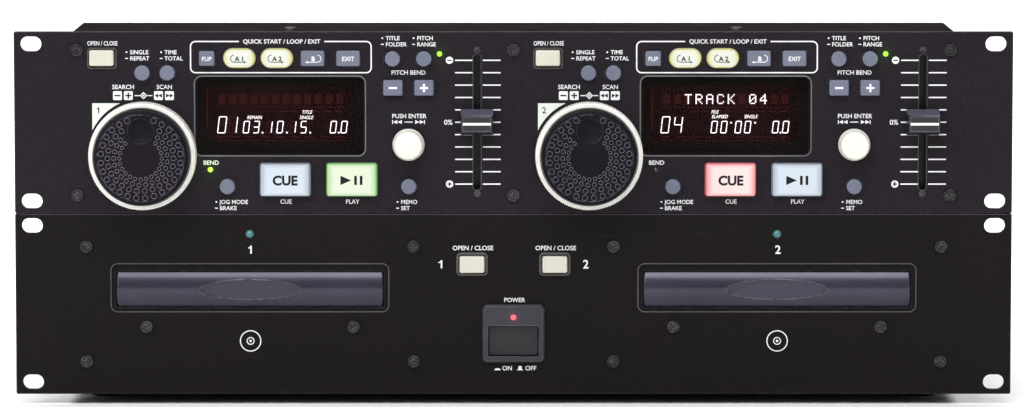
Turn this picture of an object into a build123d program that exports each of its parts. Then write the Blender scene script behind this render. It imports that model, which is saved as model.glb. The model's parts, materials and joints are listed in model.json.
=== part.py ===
"""Rack disc player: a remote controller standing on a twin disc drive.

Both units have a two-unit-high front panel with slotted ears. Millimetres. X runs to
the right along the panels, the panels face -Y and Z is up. The origin is the centre of
the footprint at the bottom of the feet.
"""
import os
from dataclasses import dataclass
from math import cos, pi, sin

from build123d import *

os.makedirs("parts", exist_ok=True)

# ---------------------------------------------------------------- rack panels
panel_width = 482.6
panel_height = 88.1
panel_thickness = 3.0
panel_corner_radius = 1.0
panel_edge_bevel = 0.4
rack_hole_span = 466.0
rack_hole_rise = 76.2
rack_slot_length = 10.2
rack_slot_width = 7.2

# ---------------------------------------------------------------- shared fits
sheet_thickness = 1.2
key_gap = 0.6
guide_clearance = 0.3
running_clearance = 0.05
screw_clearance = 0.1
thread_clearance = 0.05
cover_clearance = 0.1

# ---------------------------------------------------------------- controller
case_width = 427.4
case_depth = 67.0
case_flange = 6.0
case_tab_width = 14.0
case_tab_drop = 14.0
case_bend_radius = 1.6
deck_pitch = 215.4

# Keys, measured behind the panel's back face
key_proud = 3.0
key_edge_radius = 0.7
key_corner_radius = 0.9
key_seat_gap = 0.2
key_flange_thickness = 1.2
key_flange_margin = 1.5
key_stem_size = 4.0
key_stem_length = 4.0
key_travel = 1.2
switch_gap = 0.2
switch_plunger_diameter = 3.4
switch_plunger_height = 1.0
switch_height = 3.5
switch_size = 6.0
board_thickness = 1.6
board_edge_gap = 3.0
board_boss_diameter = 6.0

small_button_diameter = 7.4
small_button_proud = 3.2
open_key_size = (11.7, 7.6)
flip_key_size = (7.5, 7.2)
start_key_size = (14.6, 8.6)
loop_key_size = (11.4, 7.5)
bend_key_size = (9.4, 7.6)
transport_key_size = (23.6, 15.3)
transport_key_proud = 3.6

# Places on a deck: across from the deck's centre line, up from the panel's centre line
open_key_at = (-91.1, 31.4)
mode_button_at = (-71.5, 24.2)
time_button_at = (-59.4, 24.2)
flip_key_at = (-40.3, 31.2)
start_a1_key_at = (-24.7, 31.2)
start_a2_key_at = (-6.6, 31.2)
loop_b_key_at = (10.8, 31.2)
exit_key_at = (27.9, 31.2)
title_button_at = (49.3, 31.0)
range_button_at = (64.4, 31.0)
bend_minus_key_at = (49.5, 17.0)
bend_plus_key_at = (64.5, 17.0)
jog_mode_button_at = (-30.6, -30.9)
memo_button_at = (57.1, -30.9)
cue_key_at = (-2.7, -27.7)
play_key_at = (29.5, -27.7)
select_knob_at = (57.0, -10.6)
jog_at = (-71.2, -15.5)
window_at = (-5.1, 3.2)
bend_lamp_at = (-38.9, -22.8)
pitch_lamp_at = (72.0, 33.3)
fader_at = (90.1, 0.3)
board_boss_places = ((-92.8, 8.0), (-92.8, -34.0), (45.2, 2.0), (73.7, -20.0))

# Display window
window_size = (82.0, 38.1)
window_corner_radius = 3.2
window_clearance = 0.2
window_recess = 0.3
window_flange_margin = 2.0
window_flange_thickness = 1.5
display_gap = 0.4

# Jog wheel and shuttle ring
shuttle_diameter = 52.0
shuttle_bore = 46.4
shuttle_proud = 13.5
shuttle_gap = 0.8
shuttle_floor = 1.6
shuttle_tube_diameter = 14.0
shuttle_tube_reach = 4.0
shuttle_tooth_depth = 0.5
shuttle_tooth_count = 150
shuttle_edge_radius = 0.9
shuttle_edge_taper = 30.0
jog_rim_clearance = 0.4
jog_floor_clearance = 0.6
jog_proud = 22.0
jog_edge_radius = 1.4
jog_edge_rounding = 0.66
jog_land_width = 0.5
jog_field_recess = 0.3
jog_shaft_diameter = 8.0
jog_shaft_end_gap = 1.0
dimple_diameter = 12.4
dimple_depth = 2.2
dimple_offset = 13.1
encoder_size = 30.0
encoder_gap = 0.3

# Select knob
select_knob_diameter = 15.5
select_knob_proud = 10.0
select_knob_clearance = 0.5
select_knob_edge_radius = 1.2
select_knob_waist = 0.9
select_knob_crown = 0.8
select_shaft_diameter = 6.0
select_shaft_proud = 7.5
select_travel = 0.5
select_encoder_size = 12.0
select_encoder_gap = 1.5
select_hole_clearance = 0.5

# Pitch fader
fader_slot_margin = 0.5
fader_slot_width = 3.8
fader_travel = 30.0
fader_body_width = 11.0
fader_body_gap = 1.0
fader_groove_depth = 6.0
fader_end_length = 5.5
fader_screw_inset = 1.8
fader_cap_size = (15.9, 12.5)
fader_cap_step = 3.4
fader_cap_proud = 13.5
fader_cap_gap = 0.6
fader_cap_top = (15.0, 8.6)
fader_tongue_width = 2.3
fader_tongue_height = 5.0
fader_tongue_reach = 5.0
fader_tongue_clearance = 0.3

# Lamps
lamp_diameter = 2.4
lamp_proud = 0.6
lamp_dome_rise = 0.25
lamp_dome_rounding = 0.9
status_lamp_diameter = 4.0

# Screws
panel_screw_diameter = 3.0
panel_screw_head = 5.6
panel_screw_head_height = 1.5
panel_screw_length = 8.0
panel_screw_inset = 2.8
panel_screw_edge = 8.85
side_screw_length = 4.0
fader_screw_diameter = 2.0
fader_screw_head = 3.2
fader_screw_head_height = 0.5
top_screw_span = 216.0
top_screw_setback = 8.0
cross_recess_length = 3.0
cross_recess_width = 0.8
cross_recess_depth = 0.9

# ---------------------------------------------------------------- drive
drive_case_width = 434.0
drive_depth = 240.0
drive_floor_lift = 1.5
cover_lip = 12.0
foot_reach = 5.0
foot_diameter = 15.5
foot_span_x = 400.4
foot_front_setback = 38.0
foot_rear_setback = 28.0
foot_edge_radius = 1.2

tray_pitch = 255.4
tray_rise = 7.8
tray_opening = (134.2, 23.0)
tray_opening_radius = 3.0
tray_rim_wall = 1.5
tray_rim_depth = 8.0
tray_door_size = (129.4, 17.0)
tray_door_drop = 0.8
tray_door_thickness = 9.0
tray_door_bulge = 2.6
tray_door_proud = 1.0
tray_door_end_radius = 1.2
thumb_recess = (48.8, 9.6)
thumb_recess_depth = 1.5
door_clip_gap = 0.1

disc_diameter = 120.0
small_disc_diameter = 80.0
disc_margin = 0.6
disc_front_margin = 4.0
disc_recess_depth = 5.0
small_disc_recess_depth = 0.8
tray_height = 7.0
tray_width = 128.0
tray_overlap = 35.0
tray_rib_width = 2.0
tray_rib_height = 2.4
tray_rail_clearance = 0.3
tray_slot_width = 40.0
tray_slot_front = 22.0
tray_slot_rear = 50.0
tray_slot_radius = 10.0
tray_travel = 140.0

loader_wall = 5.0
loader_wall_rise = 8.0
loader_drop = 28.0
loader_base_thickness = 2.0
loader_front_gap = 0.8
loader_rear_gap = 14.0
loader_pillar_diameter = 9.0
loader_pillar_inset = 12.0
loader_lug_diameter = 8.0
bridge_width = 34.0
bridge_thickness = 2.0
clamper_diameter = 30.0
clamper_height = 3.5
clamper_neck_diameter = 18.0
clamper_hang = 0.3
clamper_cap_inset = 1.0
traverse_size = (84.0, 112.0)
traverse_thickness = 2.0
damper_diameter = 9.0
damper_height = 5.0
turntable_diameter = 30.0
turntable_thickness = 2.4
turntable_hub_diameter = 14.8
turntable_hub_height = 2.2
turntable_clearance = 0.8
spindle_motor_diameter = 27.0
sled_size = (44.0, 24.0, 7.0)
sled_rod_diameter = 3.0
sled_rod_span = 32.0
sled_rod_rise = 7.0
rod_block_length = 6.0
sled_front_gap = 2.0
sled_floor_gap = 1.0
lens_diameter = 6.0
lens_height = 1.6
lens_offset = 6.0
loading_motor_diameter = 22.0
loading_motor_length = 16.0
loading_pulley_diameter = 8.8
loading_pulley_height = 2.4

front_screw_offset = 79.3
front_screw_rise = 28.0
loader_screw_offset = 50.2
loader_screw_drop = 11.1

drive_key_size = (12.0, 8.1)
drive_key_span = 40.1
drive_key_rise = 19.3
status_lamp_rise = 34.0

bezel_size = (30.0, 28.1)
bezel_corner_radius = 2.6
bezel_drop = 14.4
bezel_proud = 2.2
bezel_bevel = 0.8
bezel_insert_margin = 1.2
bezel_depth = 8.0
power_button_size = (24.0, 14.4)
power_button_drop = 18.0
power_button_guide = 5.5
power_button_sink = 0.6
power_button_out = 3.5
power_button_over_travel = 0.5
power_stem_size = 8.0
power_stem_length = 2.0
power_switch_width = 16.0
power_lamp_drop = 6.4
front_board_strip = 8.0
front_board_overhang = 9.0
front_board_half_width = 31.0
front_board_drop = 32.0
front_boss_offset = 24.0
front_boss_rise = 4.0
front_boss_drop = 27.0
front_window_margin = 2.0

main_board_size = (330.0, 30.0)
main_board_standoff = 6.0
main_board_rear_gap = 4.0
main_boss_diameter = 7.0
transformer_size = (58.0, 50.0, 48.0)
transformer_bobbin = (40.0, 66.0, 32.0)
transformer_setback = 90.0
jack_reach = 10.0
jack_diameter = 8.4
jack_bore = 3.2
jack_pitch = 18.0
jack_columns = 4
jack_rise = -20.0
jack_centre_x = -120.0
jack_plate_size = (86.0, 36.0)
jack_block_depth = 12.0
link_socket_diameter = 13.0
link_socket_reach = 3.0
link_socket_face = 9.4
link_socket_recess = 1.4
link_socket_pitch = 24.0
link_socket_centre_x = 20.0
controller_socket_reach = 3.0
inlet_at = (165.0, -14.0)
inlet_flange = (50.0, 22.5)
inlet_flange_thickness = 2.0
inlet_body = (28.0, 20.0)
inlet_mouth = (24.2, 16.2)
inlet_depth = 17.0
inlet_wall = 1.8
inlet_pin_length = 11.0
inlet_pin_size = (2.0, 4.0)
inlet_pin_pitch = 7.0
vent_length = 34.0
vent_width = 3.0
vent_pitch = 7.0
vent_count = 12
vent_rear_margin = 40.0
vent_centre_x = 110.0

# ---------------------------------------------------------------- worked-out places
total_depth = jog_proud + drive_depth + jack_reach
panel_face_y = jog_proud - total_depth / 2
panel_screw_rise = panel_height / 2 - panel_screw_edge
select_knob_gap = select_travel + select_knob_clearance
fader_slot_length = 2 * (fader_travel + fader_slot_margin) + fader_tongue_height
tray_length = tray_travel + tray_overlap
power_button_length = power_button_out + power_button_guide
drive_z = foot_reach + panel_height / 2
controller_z = drive_z + panel_height
board_depth = (key_seat_gap + key_flange_thickness + key_stem_length + key_travel
               + switch_gap + switch_plunger_height + switch_height)
board_face = panel_thickness + board_depth
tray_floor_z = drive_z + tray_rise - tray_height / 2
door_back = tray_door_thickness - tray_door_proud
disc_radius = disc_diameter / 2 + disc_margin
disc_centre_behind = door_back + disc_front_margin + disc_radius
loader_front = panel_thickness + tray_rim_depth + loader_front_gap
loader_rear = door_back + tray_length + loader_rear_gap
loader_base_z = drive_z + tray_rise - loader_drop
chassis_bottom_z = foot_reach + drive_floor_lift
cover_top_z = foot_reach + panel_height
rear_wall_y = panel_face_y + drive_depth
decks = (1, 2)


def facing(unit_z, proud=0.0):
    """Plane parallel to a front panel, this far in front of its face."""
    return Plane(origin=(0, panel_face_y - proud, unit_z), x_dir=(1, 0, 0), z_dir=(0, -1, 0))


def turning(x, unit_z, z):
    """Plane through a knob's axis: sketch X is the radius, sketch Y is how far proud."""
    return Plane(origin=(x, panel_face_y, unit_z + z), x_dir=(1, 0, 0), z_dir=(0, 0, -1))


def knob_axis(x, unit_z, z):
    """The axis of a knob that stands square on a front panel."""
    return Axis((x, panel_face_y, unit_z + z), (0, -1, 0))


def rearward(proud=0.0):
    """Plane parallel to the drive's rear wall, this far behind its outer face."""
    return Plane(origin=(0, rear_wall_y + proud, drive_z), x_dir=(1, 0, 0), z_dir=(0, -1, 0))


def deck_place(deck, place):
    """Where a place on a deck lies from the controller panel's centre."""
    return ((deck - 1.5) * deck_pitch + place[0], place[1])


def tray_x(deck):
    """The centre line of a disc tray."""
    return (deck - 1.5) * tray_pitch


def save(piece, name):
    """Label a finished piece and write it under its name."""
    piece.part.label = name
    export_step(piece.part, f"parts/{name}.step")


@dataclass(frozen=True)
class Key:
    """A push key: its name, its place on the deck, its face and how far it stands out."""

    name: str
    place: tuple
    size: tuple
    proud: float = key_proud
    round_ends: bool = False


deck_keys = (
    Key("open_key", open_key_at, open_key_size),
    Key("mode_button", mode_button_at, (small_button_diameter,) * 2, small_button_proud, True),
    Key("time_button", time_button_at, (small_button_diameter,) * 2, small_button_proud, True),
    Key("flip_key", flip_key_at, flip_key_size),
    Key("start_a1_key", start_a1_key_at, start_key_size, key_proud, True),
    Key("start_a2_key", start_a2_key_at, start_key_size, key_proud, True),
    Key("loop_b_key", loop_b_key_at, loop_key_size),
    Key("exit_key", exit_key_at, loop_key_size),
    Key("title_button", title_button_at, (small_button_diameter,) * 2, small_button_proud, True),
    Key("range_button", range_button_at, (small_button_diameter,) * 2, small_button_proud, True),
    Key("bend_minus_key", bend_minus_key_at, bend_key_size),
    Key("bend_plus_key", bend_plus_key_at, bend_key_size),
    Key("jog_mode_button", jog_mode_button_at, (small_button_diameter,) * 2, small_button_proud, True),
    Key("memo_button", memo_button_at, (small_button_diameter,) * 2, small_button_proud, True),
    Key("cue_key", cue_key_at, transport_key_size, transport_key_proud),
    Key("play_key", play_key_at, transport_key_size, transport_key_proud),
)
drive_keys = tuple(
    Key("drive_open_key", ((deck - 1.5) * drive_key_span, drive_key_rise), drive_key_size)
    for deck in decks
)


def key_face(key, grow=0.0):
    """Outline of a key's face, grown by a margin all round."""
    width = key.size[0] + 2 * grow
    height = key.size[1] + 2 * grow
    if key.round_ends and key.size[0] == key.size[1]:
        Circle(width / 2)
    elif key.round_ends:
        SlotOverall(width, height)
    else:
        RectangleRounded(width, height, key_corner_radius + grow)


def panel_blank(unit_z):
    """A rack panel with bevelled front edges and four ear slots."""
    with BuildSketch(facing(unit_z)) as outline:
        RectangleRounded(panel_width, panel_height, panel_corner_radius)
    extrude(outline.sketch, amount=-panel_thickness)
    chamfer(faces().sort_by(Axis.Y)[0].edges(), panel_edge_bevel)
    with BuildSketch(facing(unit_z)) as outline:
        with GridLocations(rack_hole_span, rack_hole_rise, 2, 2):
            SlotOverall(rack_slot_length, rack_slot_width)
    extrude(outline.sketch, amount=-panel_thickness, mode=Mode.SUBTRACT)


def cut_holes(unit_z, places, diameter, depth=panel_thickness):
    """Round holes through the panel at these places."""
    with BuildSketch(facing(unit_z)) as outline:
        with Locations(*places):
            Circle(diameter / 2)
    extrude(outline.sketch, amount=-depth, mode=Mode.SUBTRACT)


def controller_screw_places():
    """Places of the six screws that hold the controller's panel on its case."""
    across = case_width / 2 - panel_screw_inset
    return [(x, z) for x in (-across, 0, across) for z in (-panel_screw_rise, panel_screw_rise)]


def fader_screw_places(deck):
    """Places of the two screws that hold a fader body, beyond the ends of its slot."""
    x, z = deck_place(deck, fader_at)
    reach = fader_slot_length / 2 + fader_screw_inset
    return [(x, z - reach), (x, z + reach)]


def drive_screw_places():
    """Places of the screws in the drive's panel, a set round each tray."""
    corners = [(tray_x(deck) + side * front_screw_offset, rise * front_screw_rise)
               for deck in decks for side in (-1, 1) for rise in (-1, 1)]
    return corners + loader_screw_places()


def loader_screw_places():
    """Places of the screws that hold the loaders to the front."""
    return [(tray_x(deck) + side * loader_screw_offset, -loader_screw_drop)
            for deck in decks for side in (-1, 1)]


def make_controller_panel():
    """The controller's front panel with its bosses for the board."""
    with BuildPart() as panel:
        panel_blank(controller_z)
        with BuildSketch(facing(controller_z)):
            for deck in decks:
                for key in deck_keys:
                    with Locations(deck_place(deck, key.place)):
                        key_face(key, key_gap)
                with Locations(deck_place(deck, window_at)):
                    RectangleRounded(window_size[0], window_size[1], window_corner_radius)
                with Locations(deck_place(deck, fader_at)):
                    SlotOverall(fader_slot_length, fader_slot_width, rotation=90)
        extrude(amount=-panel_thickness, mode=Mode.SUBTRACT)
        jog_places = [deck_place(deck, jog_at) for deck in decks]
        cut_holes(controller_z, jog_places, shuttle_tube_diameter + 2 * running_clearance)
        knob_places = [deck_place(deck, select_knob_at) for deck in decks]
        cut_holes(controller_z, knob_places, select_shaft_diameter + 2 * select_hole_clearance)
        lamp_places = [deck_place(deck, at) for deck in decks for at in (bend_lamp_at, pitch_lamp_at)]
        cut_holes(controller_z, lamp_places, lamp_diameter + 2 * running_clearance)
        cut_holes(controller_z, controller_screw_places(), panel_screw_diameter + 2 * screw_clearance)
        fader_places = [place for deck in decks for place in fader_screw_places(deck)]
        cut_holes(controller_z, fader_places, fader_screw_diameter + 2 * screw_clearance)
        with BuildSketch(facing(controller_z, -panel_thickness)):
            with Locations(*[deck_place(deck, at) for deck in decks for at in board_boss_places]):
                Circle(board_boss_diameter / 2)
        extrude(amount=-board_depth)
    save(panel, "controller_front_panel")


def make_controller_case():
    """The folded case behind the controller's panel, open at the front between its flanges."""
    inner_width = case_width - 2 * sheet_thickness
    inner_height = panel_height - 2 * sheet_thickness
    tab_z = panel_height / 2 - case_tab_drop / 2
    with BuildPart() as case:
        with BuildSketch(facing(controller_z, -panel_thickness)):
            Rectangle(case_width, panel_height)
        extrude(amount=-case_depth)
        fillet(case.edges().filter_by(Axis.Y), case_bend_radius)
        with BuildSketch(facing(controller_z, -panel_thickness - sheet_thickness)):
            Rectangle(inner_width, inner_height)
        extrude(amount=-(case_depth - 2 * sheet_thickness), mode=Mode.SUBTRACT)
        with BuildSketch(facing(controller_z, -panel_thickness)):
            Rectangle(inner_width - 2 * case_flange, inner_height)
            with Locations((0, tab_z), (0, -tab_z)):
                Rectangle(case_tab_width, case_tab_drop, mode=Mode.SUBTRACT)
        extrude(amount=-sheet_thickness, mode=Mode.SUBTRACT)
        with BuildSketch(facing(controller_z, -panel_thickness)):
            with Locations(*controller_screw_places()):
                Circle(panel_screw_diameter / 2 + thread_clearance)
        extrude(amount=-sheet_thickness, mode=Mode.SUBTRACT)
        with BuildSketch(Plane.XY.offset(controller_z + panel_height / 2)):
            with Locations(*top_screw_places()):
                Circle(panel_screw_diameter / 2 + thread_clearance)
        extrude(amount=-sheet_thickness, mode=Mode.SUBTRACT)
        with BuildSketch(facing(controller_z, -panel_thickness - case_depth)):
            with Locations(*[deck_place(deck, (0, 0)) for deck in decks]):
                Circle(link_socket_diameter / 2 + screw_clearance)
        extrude(amount=sheet_thickness, mode=Mode.SUBTRACT)
    save(case, "controller_rear_case")


def top_screw_places():
    """Places of the two screws in the top of the controller's case."""
    y = panel_face_y + panel_thickness + top_screw_setback
    return [(-top_screw_span / 2, y), (top_screw_span / 2, y)]


def make_windows():
    """The two tinted display windows, held from behind by their flanges."""
    with BuildPart() as windows:
        for deck in decks:
            with BuildSketch(facing(controller_z, -window_recess)):
                with Locations(deck_place(deck, window_at)):
                    RectangleRounded(window_size[0] - 2 * window_clearance,
                                     window_size[1] - 2 * window_clearance, window_corner_radius)
            extrude(amount=-(panel_thickness - window_recess))
            with BuildSketch(facing(controller_z, -panel_thickness)):
                with Locations(deck_place(deck, window_at)):
                    RectangleRounded(window_size[0] + 2 * window_flange_margin,
                                     window_size[1] + 2 * window_flange_margin, window_corner_radius)
            extrude(amount=-window_flange_thickness)
    save(windows, "controller_windows")


def make_key(key, deck, unit_z, place):
    """A push key: face, flange behind the panel and stem towards its switch."""
    flange_at = panel_thickness + key_seat_gap
    with BuildPart() as piece:
        with BuildSketch(facing(unit_z, key.proud)):
            with Locations(place):
                key_face(key)
        extrude(amount=-(key.proud + flange_at))
        fillet(piece.faces().sort_by(Axis.Y)[0].edges(), key_edge_radius)
        with BuildSketch(facing(unit_z, -flange_at)):
            with Locations(place):
                key_face(key, key_flange_margin)
        extrude(amount=-key_flange_thickness)
        with BuildSketch(facing(unit_z, -flange_at - key_flange_thickness)):
            with Locations(place):
                Rectangle(key_stem_size, key_stem_size)
        extrude(amount=-key_stem_length)
    save(piece, f"{key.name}_{deck}")


def add_switches(unit_z, places):
    """Tact switches on the board's face, each with its plunger under a key's stem."""
    with BuildSketch(facing(unit_z, -board_face)) as outline:
        with Locations(*places):
            Rectangle(switch_size, switch_size)
    extrude(outline.sketch, amount=switch_height)
    with BuildSketch(facing(unit_z, -board_face + switch_height)) as outline:
        with Locations(*places):
            Circle(switch_plunger_diameter / 2)
    extrude(outline.sketch, amount=switch_plunger_height)


def add_lamps(unit_z, places, diameter):
    """Lamps that stand on the board and look out through the panel, with domed tips."""
    tip = lamp_proud + diameter * lamp_dome_rise
    with BuildSketch(facing(unit_z, -board_face)) as outline:
        with Locations(*places):
            Circle(diameter / 2)
    extrude(outline.sketch, amount=board_face + tip)
    crown = edges().filter_by(GeomType.CIRCLE).group_by(Axis.Y)[0]
    fillet(crown, diameter / 2 * lamp_dome_rounding)


def make_controller_board():
    """The controller's circuit board with everything soldered to it, and its rear sockets."""
    board_width = case_width - 2 * (sheet_thickness + board_edge_gap)
    board_height = panel_height - 2 * (sheet_thickness + board_edge_gap)
    module_depth = board_depth - window_flange_thickness - display_gap
    socket_back = panel_thickness + case_depth + controller_socket_reach
    with BuildPart() as board:
        with BuildSketch(facing(controller_z, -board_face)):
            Rectangle(board_width, board_height)
        extrude(amount=-board_thickness)
        add_switches(controller_z, [deck_place(deck, key.place) for deck in decks for key in deck_keys])
        for deck in decks:
            with BuildSketch(facing(controller_z, -board_face)):
                with Locations(deck_place(deck, window_at)):
                    Rectangle(window_size[0] + 2 * window_flange_margin,
                              window_size[1] + 2 * window_flange_margin)
            extrude(amount=module_depth)
            with BuildSketch(facing(controller_z, -board_face)):
                with Locations(deck_place(deck, jog_at)):
                    RectangleRounded(encoder_size, encoder_size, key_corner_radius)
                    Circle(jog_shaft_diameter / 2 + running_clearance, mode=Mode.SUBTRACT)
            extrude(amount=board_depth - shuttle_tube_reach - encoder_gap)
            with BuildSketch(facing(controller_z, -board_face)):
                with Locations(deck_place(deck, select_knob_at)):
                    Rectangle(select_encoder_size, select_encoder_size)
                    Circle(select_shaft_diameter / 2 + running_clearance, mode=Mode.SUBTRACT)
            extrude(amount=board_depth - select_encoder_gap)
            with BuildSketch(facing(controller_z, -board_face)):
                with Locations(deck_place(deck, fader_at)):
                    Rectangle(fader_body_width, fader_slot_length + 2 * fader_end_length)
            extrude(amount=board_depth - fader_body_gap)
            with BuildSketch(facing(controller_z, -panel_thickness - fader_body_gap)):
                with Locations(deck_place(deck, fader_at)):
                    Rectangle(fader_tongue_width + 2 * fader_tongue_clearance, fader_slot_length)
            extrude(amount=-fader_groove_depth, mode=Mode.SUBTRACT)
            with BuildSketch(facing(controller_z, -panel_thickness - fader_body_gap)):
                with Locations(*fader_screw_places(deck)):
                    Circle(fader_screw_diameter / 2 + thread_clearance)
            extrude(amount=-(panel_screw_length - panel_thickness), mode=Mode.SUBTRACT)
        lamp_places = [deck_place(deck, at) for deck in decks for at in (bend_lamp_at, pitch_lamp_at)]
        add_lamps(controller_z, lamp_places, lamp_diameter)
        with BuildSketch(facing(controller_z, -socket_back)):
            with Locations(*[deck_place(deck, (0, 0)) for deck in decks]):
                Circle(link_socket_diameter / 2)
        extrude(amount=socket_back - board_face - board_thickness)
        with BuildSketch(facing(controller_z, -socket_back)):
            with Locations(*[deck_place(deck, (0, 0)) for deck in decks]):
                Circle(link_socket_face / 2)
        extrude(amount=link_socket_recess, mode=Mode.SUBTRACT)
    save(board, "controller_board")


def make_jog_wheel(deck):
    """The jog wheel: a thick disc with a finger dimple, on the shaft that reaches its encoder."""
    x, z = deck_place(deck, jog_at)
    rim_radius = shuttle_bore / 2 - jog_rim_clearance
    shaft_radius = jog_shaft_diameter / 2
    back = shuttle_gap + shuttle_floor + jog_floor_clearance
    shaft_end = -board_face + jog_shaft_end_gap
    ball_radius = ((dimple_diameter / 2) ** 2 + dimple_depth ** 2) / (2 * dimple_depth)
    with BuildPart() as wheel:
        with BuildSketch(turning(x, controller_z, z)):
            with BuildLine():
                Polyline((0, shaft_end), (shaft_radius, shaft_end), (shaft_radius, back),
                         (rim_radius, back), (rim_radius, jog_proud - jog_edge_radius))
                Line((rim_radius, jog_proud - jog_edge_radius), (rim_radius - jog_edge_radius, jog_proud))
                Polyline((rim_radius - jog_edge_radius, jog_proud), (0, jog_proud), (0, shaft_end))
            make_face()
        revolve(axis=knob_axis(x, controller_z, z))
        fillet(wheel.edges().filter_by(GeomType.CIRCLE).group_by(Axis.Y)[:2], jog_edge_rounding)
        with BuildSketch(facing(controller_z, jog_proud)):
            with Locations((x, z)):
                Circle(rim_radius - jog_edge_radius - jog_land_width)
        extrude(amount=-jog_field_recess, mode=Mode.SUBTRACT)
        with Locations((x, panel_face_y - jog_proud + jog_field_recess + dimple_depth - ball_radius,
                        controller_z + z + dimple_offset)):
            Sphere(ball_radius, mode=Mode.SUBTRACT)
    save(wheel, f"jog_wheel_{deck}")


def make_shuttle_ring(deck):
    """The finely toothed ring round the jog wheel, on a tube that turns in the panel."""
    x, z = deck_place(deck, jog_at)
    outer = shuttle_diameter / 2
    inner = shuttle_bore / 2
    half_step = pi / shuttle_tooth_count
    outline = [(x + (outer - shuttle_tooth_depth * (i % 2)) * cos(i * half_step),
                z + (outer - shuttle_tooth_depth * (i % 2)) * sin(i * half_step))
               for i in range(2 * shuttle_tooth_count)]
    with BuildPart() as ring:
        with BuildSketch(facing(controller_z, shuttle_gap)):
            with BuildLine():
                Polyline(*outline, close=True)
            make_face()
        extrude(amount=shuttle_proud - shuttle_gap - shuttle_edge_radius)
        with BuildSketch(facing(controller_z, shuttle_proud - shuttle_edge_radius)):
            with Locations((x, z)):
                Circle(outer - shuttle_tooth_depth)
        extrude(amount=shuttle_edge_radius, taper=shuttle_edge_taper)
        with BuildSketch(facing(controller_z, shuttle_proud)):
            with Locations((x, z)):
                Circle(inner)
        extrude(amount=-(shuttle_proud - shuttle_gap - shuttle_floor), mode=Mode.SUBTRACT)
        with BuildSketch(facing(controller_z, shuttle_gap)):
            with Locations((x, z)):
                Circle(shuttle_tube_diameter / 2)
        extrude(amount=-(shuttle_gap + panel_thickness + shuttle_tube_reach))
        with BuildSketch(facing(controller_z, shuttle_proud)):
            with Locations((x, z)):
                Circle(jog_shaft_diameter / 2 + running_clearance)
        extrude(amount=-(shuttle_proud + panel_thickness + shuttle_tube_reach), mode=Mode.SUBTRACT)
    save(ring, f"shuttle_ring_{deck}")


def make_select_shaft(deck):
    """The push shaft of the select knob, guided in its encoder."""
    x, z = deck_place(deck, select_knob_at)
    length = select_shaft_proud + board_face - jog_shaft_end_gap
    with BuildPart() as shaft:
        with BuildSketch(facing(controller_z, select_shaft_proud)):
            with Locations((x, z)):
                Circle(select_shaft_diameter / 2)
        extrude(amount=-length)
    save(shaft, f"select_shaft_{deck}")


def make_select_knob(deck):
    """The select knob: a waisted, domed button bored for its shaft."""
    x, z = deck_place(deck, select_knob_at)
    skirt = select_knob_diameter / 2
    side = skirt - select_knob_waist
    bore = select_shaft_diameter / 2 + running_clearance
    bore_top = select_shaft_proud + running_clearance
    shoulder = select_knob_proud - select_knob_crown
    ball = (side ** 2 + select_knob_crown ** 2) / (2 * select_knob_crown)
    halfway = select_knob_proud - ball + (ball ** 2 - side ** 2 / 4) ** 0.5
    with BuildPart() as knob:
        with BuildSketch(turning(x, controller_z, z)) as profile:
            with BuildLine():
                Polyline((0, bore_top), (bore, bore_top), (bore, select_knob_gap),
                         (skirt, select_knob_gap), (skirt, select_knob_gap + select_knob_waist),
                         (side, shoulder / 2), (side, shoulder))
                ThreePointArc((side, shoulder), (side / 2, halfway), (0, select_knob_proud))
                Line((0, select_knob_proud), (0, bore_top))
            make_face()
            fillet(profile.vertices().sort_by_distance((side, shoulder))[0], select_knob_edge_radius)
        revolve(axis=knob_axis(x, controller_z, z))
    save(knob, f"select_knob_{deck}")


def make_fader_cap(deck):
    """The fader's cap: a stepped, tapered block on a tongue that reaches through the slot."""
    x, z = deck_place(deck, fader_at)
    step_at = fader_cap_proud - fader_cap_step
    with BuildPart() as cap:
        with BuildSketch(facing(controller_z, fader_cap_gap)):
            with Locations((x, z)):
                Rectangle(fader_cap_size[0], fader_cap_size[1])
        with BuildSketch(facing(controller_z, step_at)):
            with Locations((x, z)):
                Rectangle(fader_cap_top[0], fader_cap_top[1])
        loft()
        with BuildSketch(facing(controller_z, step_at)):
            with Locations((x, z)):
                Rectangle(fader_cap_top[0], fader_cap_top[1])
        extrude(amount=fader_cap_step)
        chamfer(cap.faces().sort_by(Axis.Y)[0].edges(), key_edge_radius)
        with BuildSketch(facing(controller_z, fader_cap_gap)):
            with Locations((x, z)):
                Rectangle(fader_tongue_width, fader_tongue_height)
        extrude(amount=-(fader_cap_gap + panel_thickness + fader_body_gap + fader_tongue_reach))
    save(cap, f"pitch_fader_cap_{deck}")


def add_screws(head_plane, places, diameter, head, head_height, length):
    """Pan-head screws with a cross recess: heads in front of the plane, shanks behind it."""
    for place in places:
        with BuildSketch(head_plane) as outline:
            with Locations(place):
                Circle(head / 2)
        extrude(outline.sketch, amount=head_height)
        with BuildSketch(head_plane) as outline:
            with Locations(place):
                Circle(diameter / 2)
        extrude(outline.sketch, amount=-length)
    arm = cross_recess_length * head / panel_screw_head
    recess = cross_recess_depth * head_height / panel_screw_head_height
    with BuildSketch(head_plane.offset(head_height)) as outline:
        with Locations(*places):
            Rectangle(arm, cross_recess_width)
            Rectangle(cross_recess_width, arm)
    extrude(outline.sketch, amount=-recess, mode=Mode.SUBTRACT)


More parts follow.
